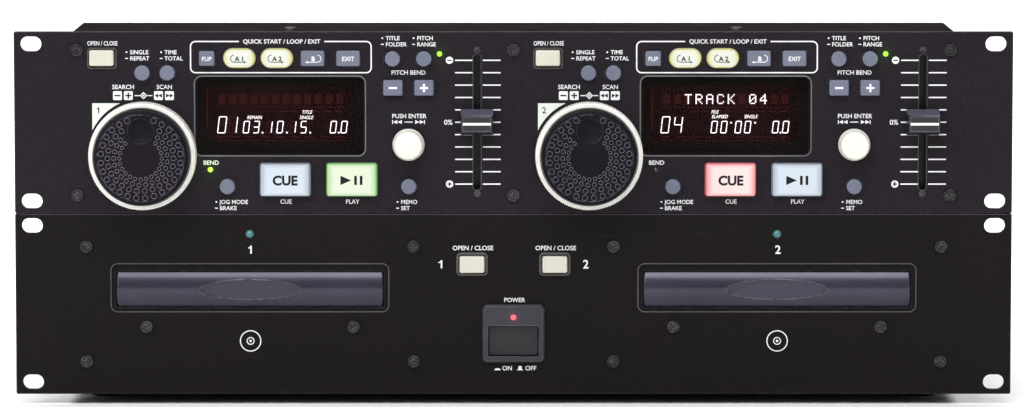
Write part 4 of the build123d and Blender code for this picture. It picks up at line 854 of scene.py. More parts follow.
class Wardrobe:
    """Gives every CAD node its finish."""

    def __init__(self, nodes: dict[str, bpy.types.Object]) -> None:
        """Keep the frame's nodes."""
        self.nodes = nodes

    def dress(self, node: str, finish: Look, regions: Iterable[Region] = ()) -> None:
        """Give a node one finish, and some of its faces others.

        Args:
            node: the CAD node.
            finish: the finish of all faces that no region takes.
            regions: faces with their own finish; the first that fits takes a face.
        """
        data = self.nodes[node].data
        data.materials.clear()
        chosen = list(regions)
        for each in [finish] + [region.finish for region in chosen]:
            data.materials.append(each.material())
        for polygon in data.polygons:
            centre = polygon.center / MM
            hits = (i + 1 for i, region in enumerate(chosen) if region.fits(centre))
            polygon.material_index = next(hits, 0)
        log.info("%s: %s", node, finish.name)

    def dress_plainly(self, finishes: dict[str, Look]) -> None:
        """Give several nodes one finish each."""
        for node, finish in finishes.items():
            self.dress(node, finish)


# ---------------------------------------------------------------- the display's lit segments
SEGMENTS = {"0": "abcdef", "1": "bc", "2": "abged", "3": "abgcd", "4": "fgbc", "5": "afgcd",
            "6": "afgedc", "7": "abc", "8": "abcdefg", "9": "abcdfg"}
MATRIX_LETTERS = {
    "A": ("01110", "10001", "10001", "11111", "10001", "10001", "10001"),
    "C": ("01110", "10001", "10000", "10000", "10000", "10001", "01110"),
    "K": ("10001", "10010", "10100", "11000", "10100", "10010", "10001"),
    "R": ("11110", "10001", "10001", "11110", "10100", "10010", "10001"),
    "T": ("11111", "00100", "00100", "00100", "00100", "00100", "00100"),
    "0": ("01110", "10001", "10011", "10101", "11001", "10001", "01110"),
    "4": ("00010", "00110", "01010", "10010", "11111", "00010", "00010"),
    " ": ("00000",) * 7,
}


@dataclass(frozen=True)
class Figure:
    """A seven-segment figure: what it shows, its middle from the window's, and its size."""

    text: str
    across: float
    height: float = 5.6
    width: float = 2.6


@dataclass
class Display:
    """What a display window shows: numbers, a line of dots, small words and the unlit rest.

    Places are in millimetres across and up from the middle of the window.
    """

    deck: int
    figures: Sequence[Figure]
    points: Sequence[Point]
    notes: Sequence[tuple[str, Point]]
    message: str = ""
    card_size: Point = (80.0, 36.6)
    haze_size: Point = (72.0, 27.4)
    point_size: float = 0.75
    note_height: float = 1.6
    stroke: float = 0.44
    slant: float = 0.12
    baseline: float = -8.5
    matrix_top: float = 10.0
    matrix_left: float = -29.8
    cells: int = 12
    dot_pitch: float = 0.7
    dot_size: float = 0.56
    cell_step: float = 5.2
    centre: Point = field(init=False)

    def build(self, centre: Point, face_y: float) -> None:
        """Make the back card, the unlit pattern and the lit segments.

        Args:
            centre: middle of the window.
            face_y: the display module's face, in millimetres.
        """
        self.centre = centre
        card = Relief(face_y, 0.05)
        card.shape(rounded_outline(centre, *self.card_size, radius=2.4))
        card.piece(f"display_card_{self.deck}", DISPLAY_BACK, "controller", "window")
        haze = Relief(face_y - 0.05, 0.04)
        haze.shape(rounded_outline(shifted(centre, 0.0, 0.6), *self.haze_size, radius=1.0))
        haze.piece(f"display_haze_{self.deck}", HAZE, "controller", "window")
        ghost = Relief(face_y - 0.09, 0.05)
        lit = Relief(face_y - 0.09, 0.1)
        for figure in self.figures:
            shown = SEGMENTS[figure.text]
            self.number(lit, figure, shown)
            self.number(ghost, figure, "".join(sorted(set("abcdefg") - set(shown))))
        for place in self.points:
            lit.bar(shifted(centre, *place), self.point_size, self.point_size)
        for word, place in self.notes:
            lit.words(word, shifted(centre, *place), self.note_height, slant=0.25, squeeze=0.86)
        self.matrix(lit, ghost)
        self.unlit_rows(ghost)
        ghost.piece(f"display_unlit_{self.deck}", GHOST, "controller", "window")
        lit.piece(f"display_lit_{self.deck}", DIGITS, "controller", "window")

    def unlit_rows(self, ghost: Relief) -> None:
        """The dashes over, between and under the figures, and the bar at the left."""
        ghost.bar(shifted(self.centre, -35.4, 2.8), 0.7, 20.0)
        for i in range(30):
            across = -30.6 + 2.1 * i
            ghost.bar(shifted(self.centre, across, 13.4), 1.2, 0.35)
            ghost.bar(shifted(self.centre, across, 3.9), 1.3, 0.5)
            ghost.bar(shifted(self.centre, across, -12.2), 1.5, 0.45)
        for i in range(9):
            ghost.bar(shifted(self.centre, -29.0 + 7.2 * i, -10.5), 4.2, 0.6)
            ghost.bar(shifted(self.centre, -15.0 + 5.4 * i, 1.9), 3.6, 0.7)

    def number(self, sheet: Relief, figure: Figure, segments: str) -> None:
        """Some of the segments of a figure.

        Args:
            sheet: where they go.
            figure: the figure's place and size.
            segments: their letters.
        """
        w, h, s = figure.width, figure.height, self.stroke
        low, mid, top = 0.0, h / 2, h
        left, right = -w / 2, w / 2
        runs = {"a": ((left, top), (right, top)), "b": ((right, top), (right, mid)),
                "c": ((right, mid), (right, low)), "d": ((left, low), (right, low)),
                "e": ((left, mid), (left, low)), "f": ((left, top), (left, mid)),
                "g": ((left, mid), (right, mid))}
        for name in segments:
            (x0, z0), (x1, z1) = runs[name]
            length = math.hypot(x1 - x0, z1 - z0)
            ux, uz = (x1 - x0) / length, (z1 - z0) / length
            nx, nz = -uz * s / 2, ux * s / 2
            tip, shoulder = s * 0.12, s * 0.55
            outline = []
            for end_x, end_z, way in ((x0, z0, 1), (x1, z1, -1)):
                near_x, near_z = end_x + way * ux * shoulder, end_z + way * uz * shoulder
                outline += [(near_x + way * nx, near_z + way * nz),
                            (end_x + way * ux * tip, end_z + way * uz * tip),
                            (near_x - way * nx, near_z - way * nz)]
            sheet.shape([shifted(self.centre, figure.across + px + self.slant * (pz - h / 2),
                                 self.baseline + pz) for px, pz in outline])

    def matrix(self, lit: Relief, ghost: Relief) -> None:
        """The line of dot cells, lit where the message has dots."""
        for cell, letter in enumerate(self.message.ljust(self.cells)):
            left = self.matrix_left + cell * self.cell_step
            for row, dots in enumerate(MATRIX_LETTERS[letter]):
                for column, dot in enumerate(dots):
                    place = shifted(self.centre, left + column * self.dot_pitch,
                                    self.matrix_top - row * self.dot_pitch)
                    sheet = lit if dot == "1" else ghost
                    sheet.bar(place, self.dot_size, self.dot_size)


# ---------------------------------------------------------------- the controller
GREY_KEYS = ("mode_button", "time_button", "flip_key", "loop_b_key", "exit_key", "title_button",
             "range_button", "bend_minus_key", "bend_plus_key", "jog_mode_button", "memo_button")


@dataclass
class Controller:
    """The remote controller: its legends, displays, trims and grips.

    Places are in millimetres across and up from the middle of a deck. A wheel's signs are
    placed from the wheel, and words from the key or knob that they belong to.
    """

    window_at: Point = (-5.1, 3.2)
    window_radius: float = 3.2
    slot_at: Point = (90.1, 0.2)
    bend_lamp_at: Point = (-38.9, -22.8)
    pitch_lamp_at: Point = (72.0, 33.3)
    lamp_reach: float = 1.6
    bright_screw_rise: float = 44.0
    board_depth: float = 14.6
    socket_depth: float = 20.0
    module_depth: float = 4.9
    letter: float = 2.0
    letter_weight: float = 0.04
    line_width: float = 0.62
    tick_pitch: float = 6.0
    frame_at: Point = (-48.2, 24.2)
    frame_size: Point = (87.2, 15.1)
    frame_radius: float = 2.4
    frame_gap: Point = (23.4, 64.6)
    search_rise: float = 13.1
    search_boxes: Sequence[float] = (-12.4, -7.15, 7.4, 12.7)
    label_left: float = -95.85
    label_rise: float = 9.4
    label_clear: float = 27.3
    window_size: Point = (82.0, 38.1)
    slot_size: Point = (3.8, 66.0)
    ring_rows: Sequence[tuple[float, float, float]] = (
        (10.2, 0.85, 2.7), (12.9, 1.0, 3.2), (15.9, 1.2, 3.8), (19.2, 1.3, 4.3))
    ring_tube: float = 0.2
    dimple_up: float = 13.1
    dimple_clear: float = 7.4
    face_sink: float = 0.3
    cap_slope_from: float = 4.0
    cap_front: Point = (13.6, 7.2)
    lights: list[tuple[Point, Colour]] = field(default_factory=list)
    face: float = field(init=False)
    level: float = field(init=False)
    pitch: float = field(init=False)

    def build(self, wardrobe: Wardrobe) -> None:
        """Dress the controller's solids and add everything printed or set on them."""
        self.face = front("controller_front_panel")
        self.level = middle("controller_front_panel")[1]
        self.pitch = middle("jog_wheel_2")[0] - middle("jog_wheel_1")[0]
        self.dress(wardrobe)
        for deck in DECKS:
            self.legends(deck)
            self.key_legends(deck)
            self.trims(deck)
            self.jog_grip(deck)
            self.fader_lines(deck)
        self.displays()

    def deck_at(self, deck: int, across: float, up: float) -> Point:
        """A place on a deck, from its centre line and the panel's, in millimetres."""
        return ((deck - 1.5) * self.pitch + across, self.level + up)

    def dress(self, wardrobe: Wardrobe) -> None:
        """Give the controller's nodes their finishes."""
        wardrobe.dress_plainly({
            "controller_front_panel": PANEL_UPPER, "controller_rear_case": CASE,
            "controller_windows": WINDOW, "cue_key_1": CUE_WHITE, "play_key_1": PLAY_GREEN,
            "cue_key_2": CUE_RED, "play_key_2": CUE_WHITE})
        wardrobe.dress("controller_screws", SCREW_BLACK, [
            Region(SCREW_BRIGHT, lambda p: p.z > self.level + self.bright_screw_rise)])
        regions = []
        for deck in DECKS:
            for at in (self.bend_lamp_at, self.pitch_lamp_at):
                place = self.deck_at(deck, *at)
                dark = at == self.bend_lamp_at and deck == 2
                regions.append(Region(LAMP_OFF if dark else LAMP_GREEN, near(place, self.lamp_reach)))
                if not dark:
                    self.lights.append((place, LAMP_GREEN.glow))
        sockets_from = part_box("controller_board")[1].y / MM - self.socket_depth
        board_from = self.face + self.board_depth - 0.2
        regions.append(Region(NICKEL, lambda p: p.y > sockets_from))
        regions.append(Region(BLACK_PLASTIC, lambda p: p.y < board_from))
        wardrobe.dress("controller_board", BOARD, regions)
        finishes = dict.fromkeys(GREY_KEYS, BLUE_GREY)
        finishes |= {"open_key": CREAM, "start_a1_key": START_YELLOW, "start_a2_key": START_YELLOW,
                     "jog_wheel": JOG, "shuttle_ring": SHUTTLE, "select_shaft": STEEL, "select_knob": KNOB}
        for deck in DECKS:
            wardrobe.dress_plainly({f"{name}_{deck}": finish for name, finish in finishes.items()})
            cap = f"pitch_fader_cap_{deck}"
            slope = middle(cap)[1] + self.cap_slope_from
            # The cap's upper slope takes a painted highlight
            wardrobe.dress(cap, FADER, [Region(FADER_HIGHLIGHT, lambda p: p.z > slope and p.y < self.face)])

    def legends(self, deck: int) -> None:
        """Everything printed in white on one deck of the panel."""
        ink = Relief(self.face)
        signs = Relief(self.face - ink.thickness)
        self.button_words(ink, deck)
        self.search_icons(ink, signs, deck)
        self.loop_frame(ink, deck)
        self.fader_scale(ink, signs, deck)
        ink.piece(f"panel_legends_{deck}", WHITE_INK, "controller", "panel")
        signs.piece(f"panel_signs_{deck}", DARK_INK, "controller", "panel")
        self.corner_label(deck)

    def button_words(self, ink: Relief, deck: int) -> None:
        """Short words beside the keys and knobs."""
        open_at = shifted(middle(f"open_key_{deck}"), 0.4, 7.0)
        ink.words("OPEN / CLOSE", open_at, self.letter, self.letter_weight, squeeze=0.78)
        for button, lean, words in (("mode_button", -7.9, ("SINGLE", "REPEAT")),
                                    ("time_button", -3.3, ("TIME", "TOTAL")),
                                    ("title_button", -5.2, ("TITLE", "FOLDER")),
                                    ("range_button", -5.2, ("PITCH", "RANGE"))):
            self.pair(ink, words, shifted(middle(f"{button}_{deck}"), lean, 9.9))
        for button, words in (("jog_mode_button", ("JOG MODE", "BRAKE")), ("memo_button", ("MEMO", "SET"))):
            self.pair(ink, words, shifted(middle(f"{button}_{deck}"), -5.8, -7.6))
        bend_at = middle(f"bend_minus_key_{deck}")
        ink.words("PITCH BEND", shifted(bend_at, 7.5, 7.3), self.letter, self.letter_weight)
        ink.words("BEND", self.deck_at(deck, -38.5, -19.4), self.letter, self.letter_weight)
        for key, word in (("cue_key", "CUE"), ("play_key", "PLAY")):
            ink.words(word, shifted(middle(f"{key}_{deck}"), 0.3, -10.6), self.letter, self.letter_weight)
        knob = middle(f"select_knob_{deck}")
        ink.words("PUSH ENTER", shifted(knob, 0.3, 13.8), self.letter, self.letter_weight)
        for side in (-1, 1):
            self.skip_icon(ink, shifted(knob, side * 5.1, 10.9), side)
        ink.bar(shifted(knob, 0.0, 10.9), 4.0, 0.45)

    def pair(self, ink: Relief, words: Sequence[str], place: Point) -> None:
        """Two stacked words, a dot before the upper one and a dash before the lower one."""
        for row, word in enumerate(words):
            spot = shifted(place, 0.0, -3.0 * row)
            if row:
                ink.bar(shifted(spot, 0.3, 0.0), 1.4, 0.45)
            else:
                ink.disc(shifted(spot, 0.3, 0.0), 0.42, 12)
            ink.words(word, shifted(spot, 1.9, 0.0), self.letter * 0.95, self.letter_weight, align="LEFT")

    def skip_icon(self, ink: Relief, centre: Point, side: int) -> None:
        """Two triangles against a bar, pointing to one side."""
        for step in (0, 1):
            ink.arrow(shifted(centre, side * (0.2 + 2.2 * step)), side * 2.1, 1.9)
        ink.bar(shifted(centre, side * 2.6), 0.4, 1.9)

    def search_icons(self, ink: Relief, signs: Relief, deck: int) -> None:
        """Over the wheel: four white boxes with dark signs, their words and a diamond between them."""
        wheel = middle(f"jog_wheel_{deck}")
        row = self.level + self.search_rise
        minus, plus, back, ahead = ((wheel[0] + across, row) for across in self.search_boxes)
        for box in (minus, plus, back, ahead):
            ink.shape(rounded_outline(box, 4.3, 4.3, 0.5))
        for word, across in (("SEARCH", -9.6), ("SCAN", 10.3)):
            ink.words(word, (wheel[0] + across, row + 4.2), self.letter, self.letter_weight)
        for box, width, height in ((minus, 2.9, 0.7), (plus, 2.9, 0.7), (plus, 0.7, 2.9)):
            signs.bar(box, width, height)
        for side, box in ((-1, back), (1, ahead)):
            for step in (0, 1):
                signs.arrow(shifted(box, side * (0.1 + 1.8 * step)), side * 1.8, 2.0)
        centre = (wheel[0] + 0.15, row)
        ink.bar(shifted(centre, -3.1), 2.4, 0.45)
        ink.bar(shifted(centre, 3.1), 2.4, 0.45)
        diamond = [(1.8, 0.0), (0.0, 1.8), (-1.8, 0.0), (0.0, -1.8)]
        ink.band([shifted(centre, *p) for p in diamond],
                 [shifted(centre, p[0] * 0.6, p[1] * 0.6) for p in diamond])
        ink.disc(centre, 0.5, 12)

    def loop_frame(self, ink: Relief, deck: int) -> None:
        """The rounded frame round the loop keys, broken at the top by a word."""
        left, low = self.deck_at(deck, *self.frame_at)
        width, height = self.frame_size
        radius = self.frame_radius
        right, top = left + width, low + height
        gap_from, gap_to = left + self.frame_gap[0], left + self.frame_gap[1]
        path = [(gap_from, top)]
        hubs = (((left + radius, top - radius), 0.5), ((left + radius, low + radius), 1.0),
                ((right - radius, low + radius), 1.5), ((right - radius, top - radius), 2.0))
        for hub, start in hubs:
            path += [polar(hub, radius, math.pi * (start + step / 12)) for step in range(7)]
        path.append((gap_to, top))
        ink.line(path, self.line_width)
        ink.words("QUICK START / LOOP / EXIT", ((gap_from + gap_to) / 2, top), self.letter,
                  self.letter_weight)

    def fader_scale(self, ink: Relief, signs: Relief, deck: int) -> None:
        """Ticks on both sides of the fader's slot, with its signs and the zero."""
        slot_x, slot_z = self.deck_at(deck, *self.slot_at)
        for step in range(-5, 6):
            z = slot_z + step * self.tick_pitch
            for across in (-6.3, 7.1):
                ink.bar((slot_x + across, z), 8.6, self.line_width)
        for side in (-1, 1):
            spot = (slot_x - 13.3, slot_z + side * 5 * self.tick_pitch)
            ink.disc(spot, 1.75)
            signs.bar(spot, 2.2, 0.6)
            if side < 0:
                signs.bar(spot, 0.6, 2.2)
        ink.words("0%", (slot_x - 13.9, slot_z), 2.4, self.letter_weight)

    def corner_label(self, deck: int) -> None:
        """The label with the deck's number, its long side an arc round the wheel."""
        wheel = middle(f"jog_wheel_{deck}")
        left, top = self.deck_at(deck, self.label_left, self.label_rise)
        clear = self.label_clear
        start = math.atan2(top - wheel[1], -math.sqrt(clear ** 2 - (top - wheel[1]) ** 2))
        reach = left - wheel[0]
        end = math.atan2(math.sqrt(clear ** 2 - reach ** 2), reach)
        arc = [polar(wheel, clear, start + (end - start) * i / 10) for i in range(11)]
        label = Relief(self.face)
        label.shape([(left, top)] + arc)
        label.piece(f"deck_label_{deck}", LABEL, "controller", "panel")
        number = Relief(self.face - label.thickness)
        number.figure(str(deck), (left + 3.0, top - 3.4), 2.9, 0.05)
        number.piece(f"deck_number_{deck}", DARK_INK, "controller", "panel")

    def key_legends(self, deck: int) -> None:
        """Signs and words on the keys' own faces, which move with the keys."""
        for name, text, height, weight, ink in (("flip_key", "FLIP", 1.9, 0.05, WHITE_INK),
                                                ("exit_key", "EXIT", 2.0, 0.05, WHITE_INK),
                                                ("cue_key", "CUE", 4.3, 0.26, DARK_INK)):
            key = MovingSheet(f"{name}_{deck}")
            key.words(text, shifted(key.spot, 0.0, -0.1), height, weight)
            key.done(ink, "lit_key")
        for name, text, ink in (("start_a1_key", "A 1", DARK_INK), ("start_a2_key", "A 2", DARK_INK),
                                ("loop_b_key", "B", WHITE_INK)):
            key = MovingSheet(f"{name}_{deck}")
            key.words(text, shifted(key.spot, 0.3, -0.1), 2.1, 0.1)
            self.loop_arrow(key, key.spot, name == "loop_b_key")
            key.done(ink, "lit_key")
        for name in ("bend_minus_key", "bend_plus_key"):
            key = MovingSheet(f"{name}_{deck}")
            key.bar(key.spot, 4.0, 1.0)
            if name == "bend_plus_key":
                for up in (1.25, -1.25):
                    key.bar(shifted(key.spot, 0.0, up), 1.0, 1.5)
            key.done(WHITE_INK, "blue_grey_key")
        key = MovingSheet(f"play_key_{deck}")
        key.arrow(shifted(key.spot, -0.2), 5.2, 4.5)
        for across in (1.9, 4.6):
            key.bar(shifted(key.spot, across), 1.3, 4.4)
        key.done(DARK_INK, "lit_key")

    def loop_arrow(self, sheet: Relief, spot: Point, mirrored: bool) -> None:
        """A thin line that curls round a letter and ends in an arrow head."""
        side = -1 if mirrored else 1
        hub = shifted(spot, -side * 2.4, 0.0)
        turns = [math.pi * (0.5 + i / 8) for i in range(9)]
        radius = 1.7
        path = [(hub[0] + side * radius * math.cos(t), hub[1] + radius * math.sin(t)) for t in turns]
        path.append(shifted(spot, side * 2.4, -radius))
        sheet.line(path[::-1] if mirrored else path, 0.36)
        sheet.arrow(shifted(spot, side * 3.6, -radius), side * 1.3, 1.1)

    def trims(self, deck: int) -> None:
        """Painted highlight on the edges of the window and the fader's slot, painted shade on the ring's
        inner rim, and the cream key's frame, which is also its painted drop shadow.
        """
        window = self.deck_at(deck, *self.window_at)
        # The window's lip is coloured lighter than the panel as a painted highlight on its edge
        edge = lip(self.face, window, self.window_size, self.window_radius, width=0.6, proud=0.2)
        edge.piece(f"window_edge_{deck}", WINDOW_EDGE_HIGHLIGHT, "controller", "panel")
        spot = middle(f"open_key_{deck}")
        # Grey skirt set a little low and to the right, also standing for the key's painted drop shadow
        frame = lip(self.face, shifted(spot, 0.15, -0.25), (13.0, 8.9), radius=1.2, width=0.7, proud=0.5)
        frame.piece(f"open_key_frame_{deck}", KEY_FRAME, "controller", "cream_key")
        place = self.deck_at(deck, *self.slot_at)
        # Painted highlight on the edges of the slot
        slot = lip(self.face, place, self.slot_size, radius=1.85, width=0.25, proud=0.08)
        slot.piece(f"fader_slot_edge_{deck}", DIM_EDGE_HIGHLIGHT, "controller", "panel")
        # Painted shade on the ring's inner rim
        node = f"shuttle_ring_{deck}"
        shade = Relief(front(node))
        shade.ring(middle(node), outer=23.85, inner=23.25, steps=96)
        shade.piece(f"shuttle_inner_edge_{deck}", RING_PAINTED_SHADE, node, "shuttle")

    def jog_grip(self, deck: int) -> None:
        """Small raised rings over the wheel's face, in rows round its middle."""
        node = f"jog_wheel_{deck}"
        hub = middle(node)
        face_y = front(node) + self.face_sink
        grip = Solid()
        for row, (radius, ring_radius, spacing) in enumerate(self.ring_rows):
            count = round(2 * math.pi * radius / spacing)
            for i in range(count):
                turn = 2 * math.pi * (i + 0.5 * (row % 2)) / count
                x, z = radius * math.cos(turn), radius * math.sin(turn)
                # The finger dimple stays free
                if math.hypot(x, z - self.dimple_up) < self.dimple_clear:
                    continue
                centre = Vector((hub[0] + x, face_y - 0.04, hub[1] + z)) * MM
                grip.torus(centre, ring_radius * MM, self.ring_tube * MM, steps=14, sides=6)
        # The rings take a lighter colour as painted highlight
        made = grip.piece(f"jog_grip_rings_{deck}", JOG_RELIEF, node, "jog")
        for polygon in made.data.polygons:
            polygon.use_smooth = True

    def fader_lines(self, deck: int) -> None:
        """The white index line over the fader's cap, and a painted highlight along the edge of its front."""
        width, height = self.cap_front
        index = MovingSheet(f"pitch_fader_cap_{deck}", 0.05)
        index.bar(index.spot, width, 1.2)
        index.done(WHITE_INK, "fader", "index")
        edge = MovingSheet(f"pitch_fader_cap_{deck}")
        edge.band(rounded_outline(edge.spot, width, height, 0.3),
                  rounded_outline(edge.spot, width - 0.5, height - 0.5, 0.3))
        edge.done(FADER_HIGHLIGHT, "fader", "edge")

    def displays(self) -> None:
        """Both lit displays; the right one also shows a title."""
        module_face = self.face + self.module_depth
        tall = {"height": 7.8, "width": 3.6}
        left = Display(1, (Figure("0", -28.2, **tall), Figure("1", -22.9, **tall), Figure("0", -16.5),
                           Figure("3", -11.7), Figure("1", -5.5), Figure("0", -0.2), Figure("1", 6.0),
                           Figure("5", 11.2), Figure("0", 25.6), Figure("0", 30.8)),
                       ((-8.7, -8.4), (3.1, -8.4), (14.4, -8.4), (28.2, -8.4)),
                       (("REMAIN", (-12.6, -1.0)), ("SINGLE", (12.5, -1.0)), ("TITLE", (12.8, 1.6))))
        right = Display(2, (Figure("0", -29.0, **tall), Figure("4", -22.9, **tall), Figure("0", -5.4),
                            Figure("0", -0.7), Figure("0", 6.2), Figure("0", 10.8), Figure("0", 24.3),
                            Figure("0", 29.2)),
                        ((2.8, -3.6), (14.4, -3.6), (26.7, -8.4)),
                        (("ELAPSED", (-2.8, -0.6)), ("SINGLE", (12.2, -0.6)), ("FILE", (-5.2, 1.7))),
                        message="  TRACK 04")
        for display in (left, right):
            display.build(self.deck_at(display.deck, *self.window_at), module_face)


# ---------------------------------------------------------------- the drive
# The power button pushed in and standing out, as outlines from the middle of their row
ON_MARK = ((-9.4, -1.0), (-6.1, -1.0), (-6.8, -0.1), (-8.7, -0.1))
OFF_MARK = ((1.5, -1.0), (4.9, -1.0), (4.0, -0.5), (4.0, 1.0), (2.4, 1.0), (2.4, -0.5))


@dataclass
class Drive:
    """The twin disc drive: its legends, trims, lamps and rear sockets, in millimetres."""

    tray_rise: float = 7.8
    lamp_rise: float = 34.0
    red_lamp_drop: float = 6.4
    door_depth: float = 8.01
    edge_size: Point = (478.0, 0.3)
    opening_radius: float = 3.0
    opening: Point = (134.2, 23.0)
    door_hole: Point = (130.2, 17.8)
    door_drop: float = 0.8
    jack_span: float = 18.0
    lights: list[tuple[Point, Colour]] = field(default_factory=list)
    face: float = field(init=False)
    level: float = field(init=False)
    rear: float = field(init=False)

    def build(self, wardrobe: Wardrobe) -> None:
        """Dress the drive's solids and add everything printed or set on them."""
        self.face = front("drive_front_panel")
        self.level = middle("drive_front_panel")[1]
        self.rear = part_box("drive_chassis")[1].y / MM
        self.dress(wardrobe)
        self.legends()
        self.trims()
        self.rear_legends()

    def lamp_places(self) -> list[Point]:
        """Places of the two status lamps."""
        return [(middle(f"disc_tray_{deck}")[0], self.level + self.lamp_rise) for deck in DECKS]

    def dress(self, wardrobe: Wardrobe) -> None:
        """Give the drive's nodes their finishes."""
        wardrobe.dress_plainly({
            "drive_front_panel": PANEL_LOWER, "drive_chassis": CASE, "drive_top_cover": CASE,
            "rubber_feet": RUBBER, "power_switch_bezel": BEZEL, "power_button": DARK_BUTTON,
            "drive_screws": SCREW_BLACK, "disc_loaders": LOADER})
        door_back = self.face + self.door_depth
        for deck in DECKS:
            wardrobe.dress(f"drive_open_key_{deck}", CREAM)
            wardrobe.dress(f"disc_tray_{deck}", TRAY, [Region(DOOR, lambda p: p.y < door_back)])
        red_lamp = (0.0, self.level - self.red_lamp_drop)
        self.lights.append((red_lamp, LAMP_RED.glow))
        jack_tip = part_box("drive_boards")[1].y / MM
        regions = [Region(LAMP_TEAL, near(place, 2.6)) for place in self.lamp_places()]
        # The first that fits counts: lamps, rear sockets, the transformer near the middle,
        # then the dark holders behind the panel. The boards themselves stay green.
        regions += [
            Region(LAMP_RED, lambda p: p.y < self.face + 14.0 and near(red_lamp, 1.7)(p)),
            Region(JACK_RED, lambda p: p.y > jack_tip - 0.05 and p.z < self.level - 10.0),
            Region(JACK_WHITE, lambda p: p.y > jack_tip - 0.05),
            Region(NICKEL, lambda p: p.y > self.rear + 0.1 and p.x < -50.0),
            Region(BLACK_PLASTIC, lambda p: p.y > self.rear - 16.0),
            Region(BOBBIN, lambda p: abs(p.x) < 22.0 and -30.0 < p.y < 40.0 and p.z > 20.0),
            Region(CORE, lambda p: abs(p.x) < 32.0 and -30.0 < p.y < 40.0),
            Region(BLACK_PLASTIC, lambda p: p.y < self.face + 14.4),
        ]
        wardrobe.dress("drive_boards", BOARD, regions)

    def legends(self) -> None:
        """Everything printed on the drive's panel, and a painted highlight along its upper edge."""
        # Painted highlight along the panel's top edge
        edge = Relief(self.face, 0.04)
        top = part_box("drive_front_panel")[1].z / MM
        edge.bar((0.0, top - 0.55), *self.edge_size)
        edge.piece("drive_panel_top_highlight", PANEL_EDGE_HIGHLIGHT, "drive", "panel")
        ink = Relief(self.face)
        for deck, side, lamp in zip(DECKS, (-1, 1), self.lamp_places()):
            key = middle(f"drive_open_key_{deck}")
            ink.words("OPEN / CLOSE", shifted(key, 0.4, 7.9), 2.1, 0.04)
            ink.figure(str(deck), shifted(key, side * 15.0, 0.0), 4.0, 0.1)
            ink.figure(str(deck), shifted(lamp, 0.4, -7.6), 3.9, 0.1)
            self.disc_sign(ink, shifted(lamp, 0.2, -52.1))
        bezel = middle("power_switch_bezel")
        ink.words("POWER", shifted(bezel, 0.5, 16.3), 2.0, 0.04)
        row = shifted(bezel, 0.0, -17.0)
        for mark, word, across in ((ON_MARK, "ON", -3.0), (OFF_MARK, "OFF", 8.4)):
            ink.shape([shifted(row, *corner) for corner in mark])
            ink.words(word, shifted(row, across), 2.1, 0.04)
        ink.piece("drive_panel_legends", WHITE_INK, "drive", "panel")

    def disc_sign(self, ink: Relief, centre: Point) -> None:
        """A plain disc: an outline, a hub ring and a hole."""
        ink.ring(centre, 5.2, 4.7, 48)
        ink.ring(centre, 1.9, 1.45, 28)
        ink.disc(centre, 0.6, 16)

    def trims(self) -> None:
        """Painted highlight on the edges of the tray openings, their surrounds, and the frames round the
        cream keys.
        """
        for deck in DECKS:
            tray = (middle(f"disc_tray_{deck}")[0], self.level + self.tray_rise)
            # Painted highlight on the rim of the opening
            edge = lip(self.face, tray, self.opening, self.opening_radius, width=0.45, proud=0.12)
            edge.piece(f"tray_opening_edge_{deck}", DIM_EDGE_HIGHLIGHT, "drive", "panel")
            surround = Relief(self.face + 1.6, 0.8)
            door = shifted(tray, 0.0, -self.door_drop)
            surround.band(rounded_outline(tray, *self.opening, radius=self.opening_radius),
                          rounded_outline(door, *self.door_hole, radius=1.2))
            surround.piece(f"tray_surround_{deck}", PANEL_LOWER, "drive", "panel")
            key = middle(f"drive_open_key_{deck}")
            frame = lip(self.face, key, (13.2, 9.3), radius=1.2, width=1.0, proud=0.6)
            frame.piece(f"drive_key_frame_{deck}", KEY_FRAME, "drive", "cream_key")

    def rear_legends(self) -> None:
        """Letters and numbers beside the rear sockets, drawn as seen from behind and turned there."""
        plate = Relief(0.0)
        for row, letter in enumerate("RL"):
            place = (120.0 + 2.35 * self.jack_span, self.level - 20.0 + row * self.jack_span)
            plate.words(letter, place, 3.2, 0.06)
        for number, across in (("1", -8.0), ("2", -32.0)):
            plate.figure(number, (across, self.level - 8.6), 3.0, 0.06)
        turn = Matrix.Rotation(math.pi, 4, "Z")
        bmesh.ops.transform(plate.mesh, matrix=Matrix.Translation((0, self.rear * MM, 0)) @ turn,
                            verts=plate.mesh.verts)
        plate.piece("rear_legends", WHITE_INK, "drive", "panel")


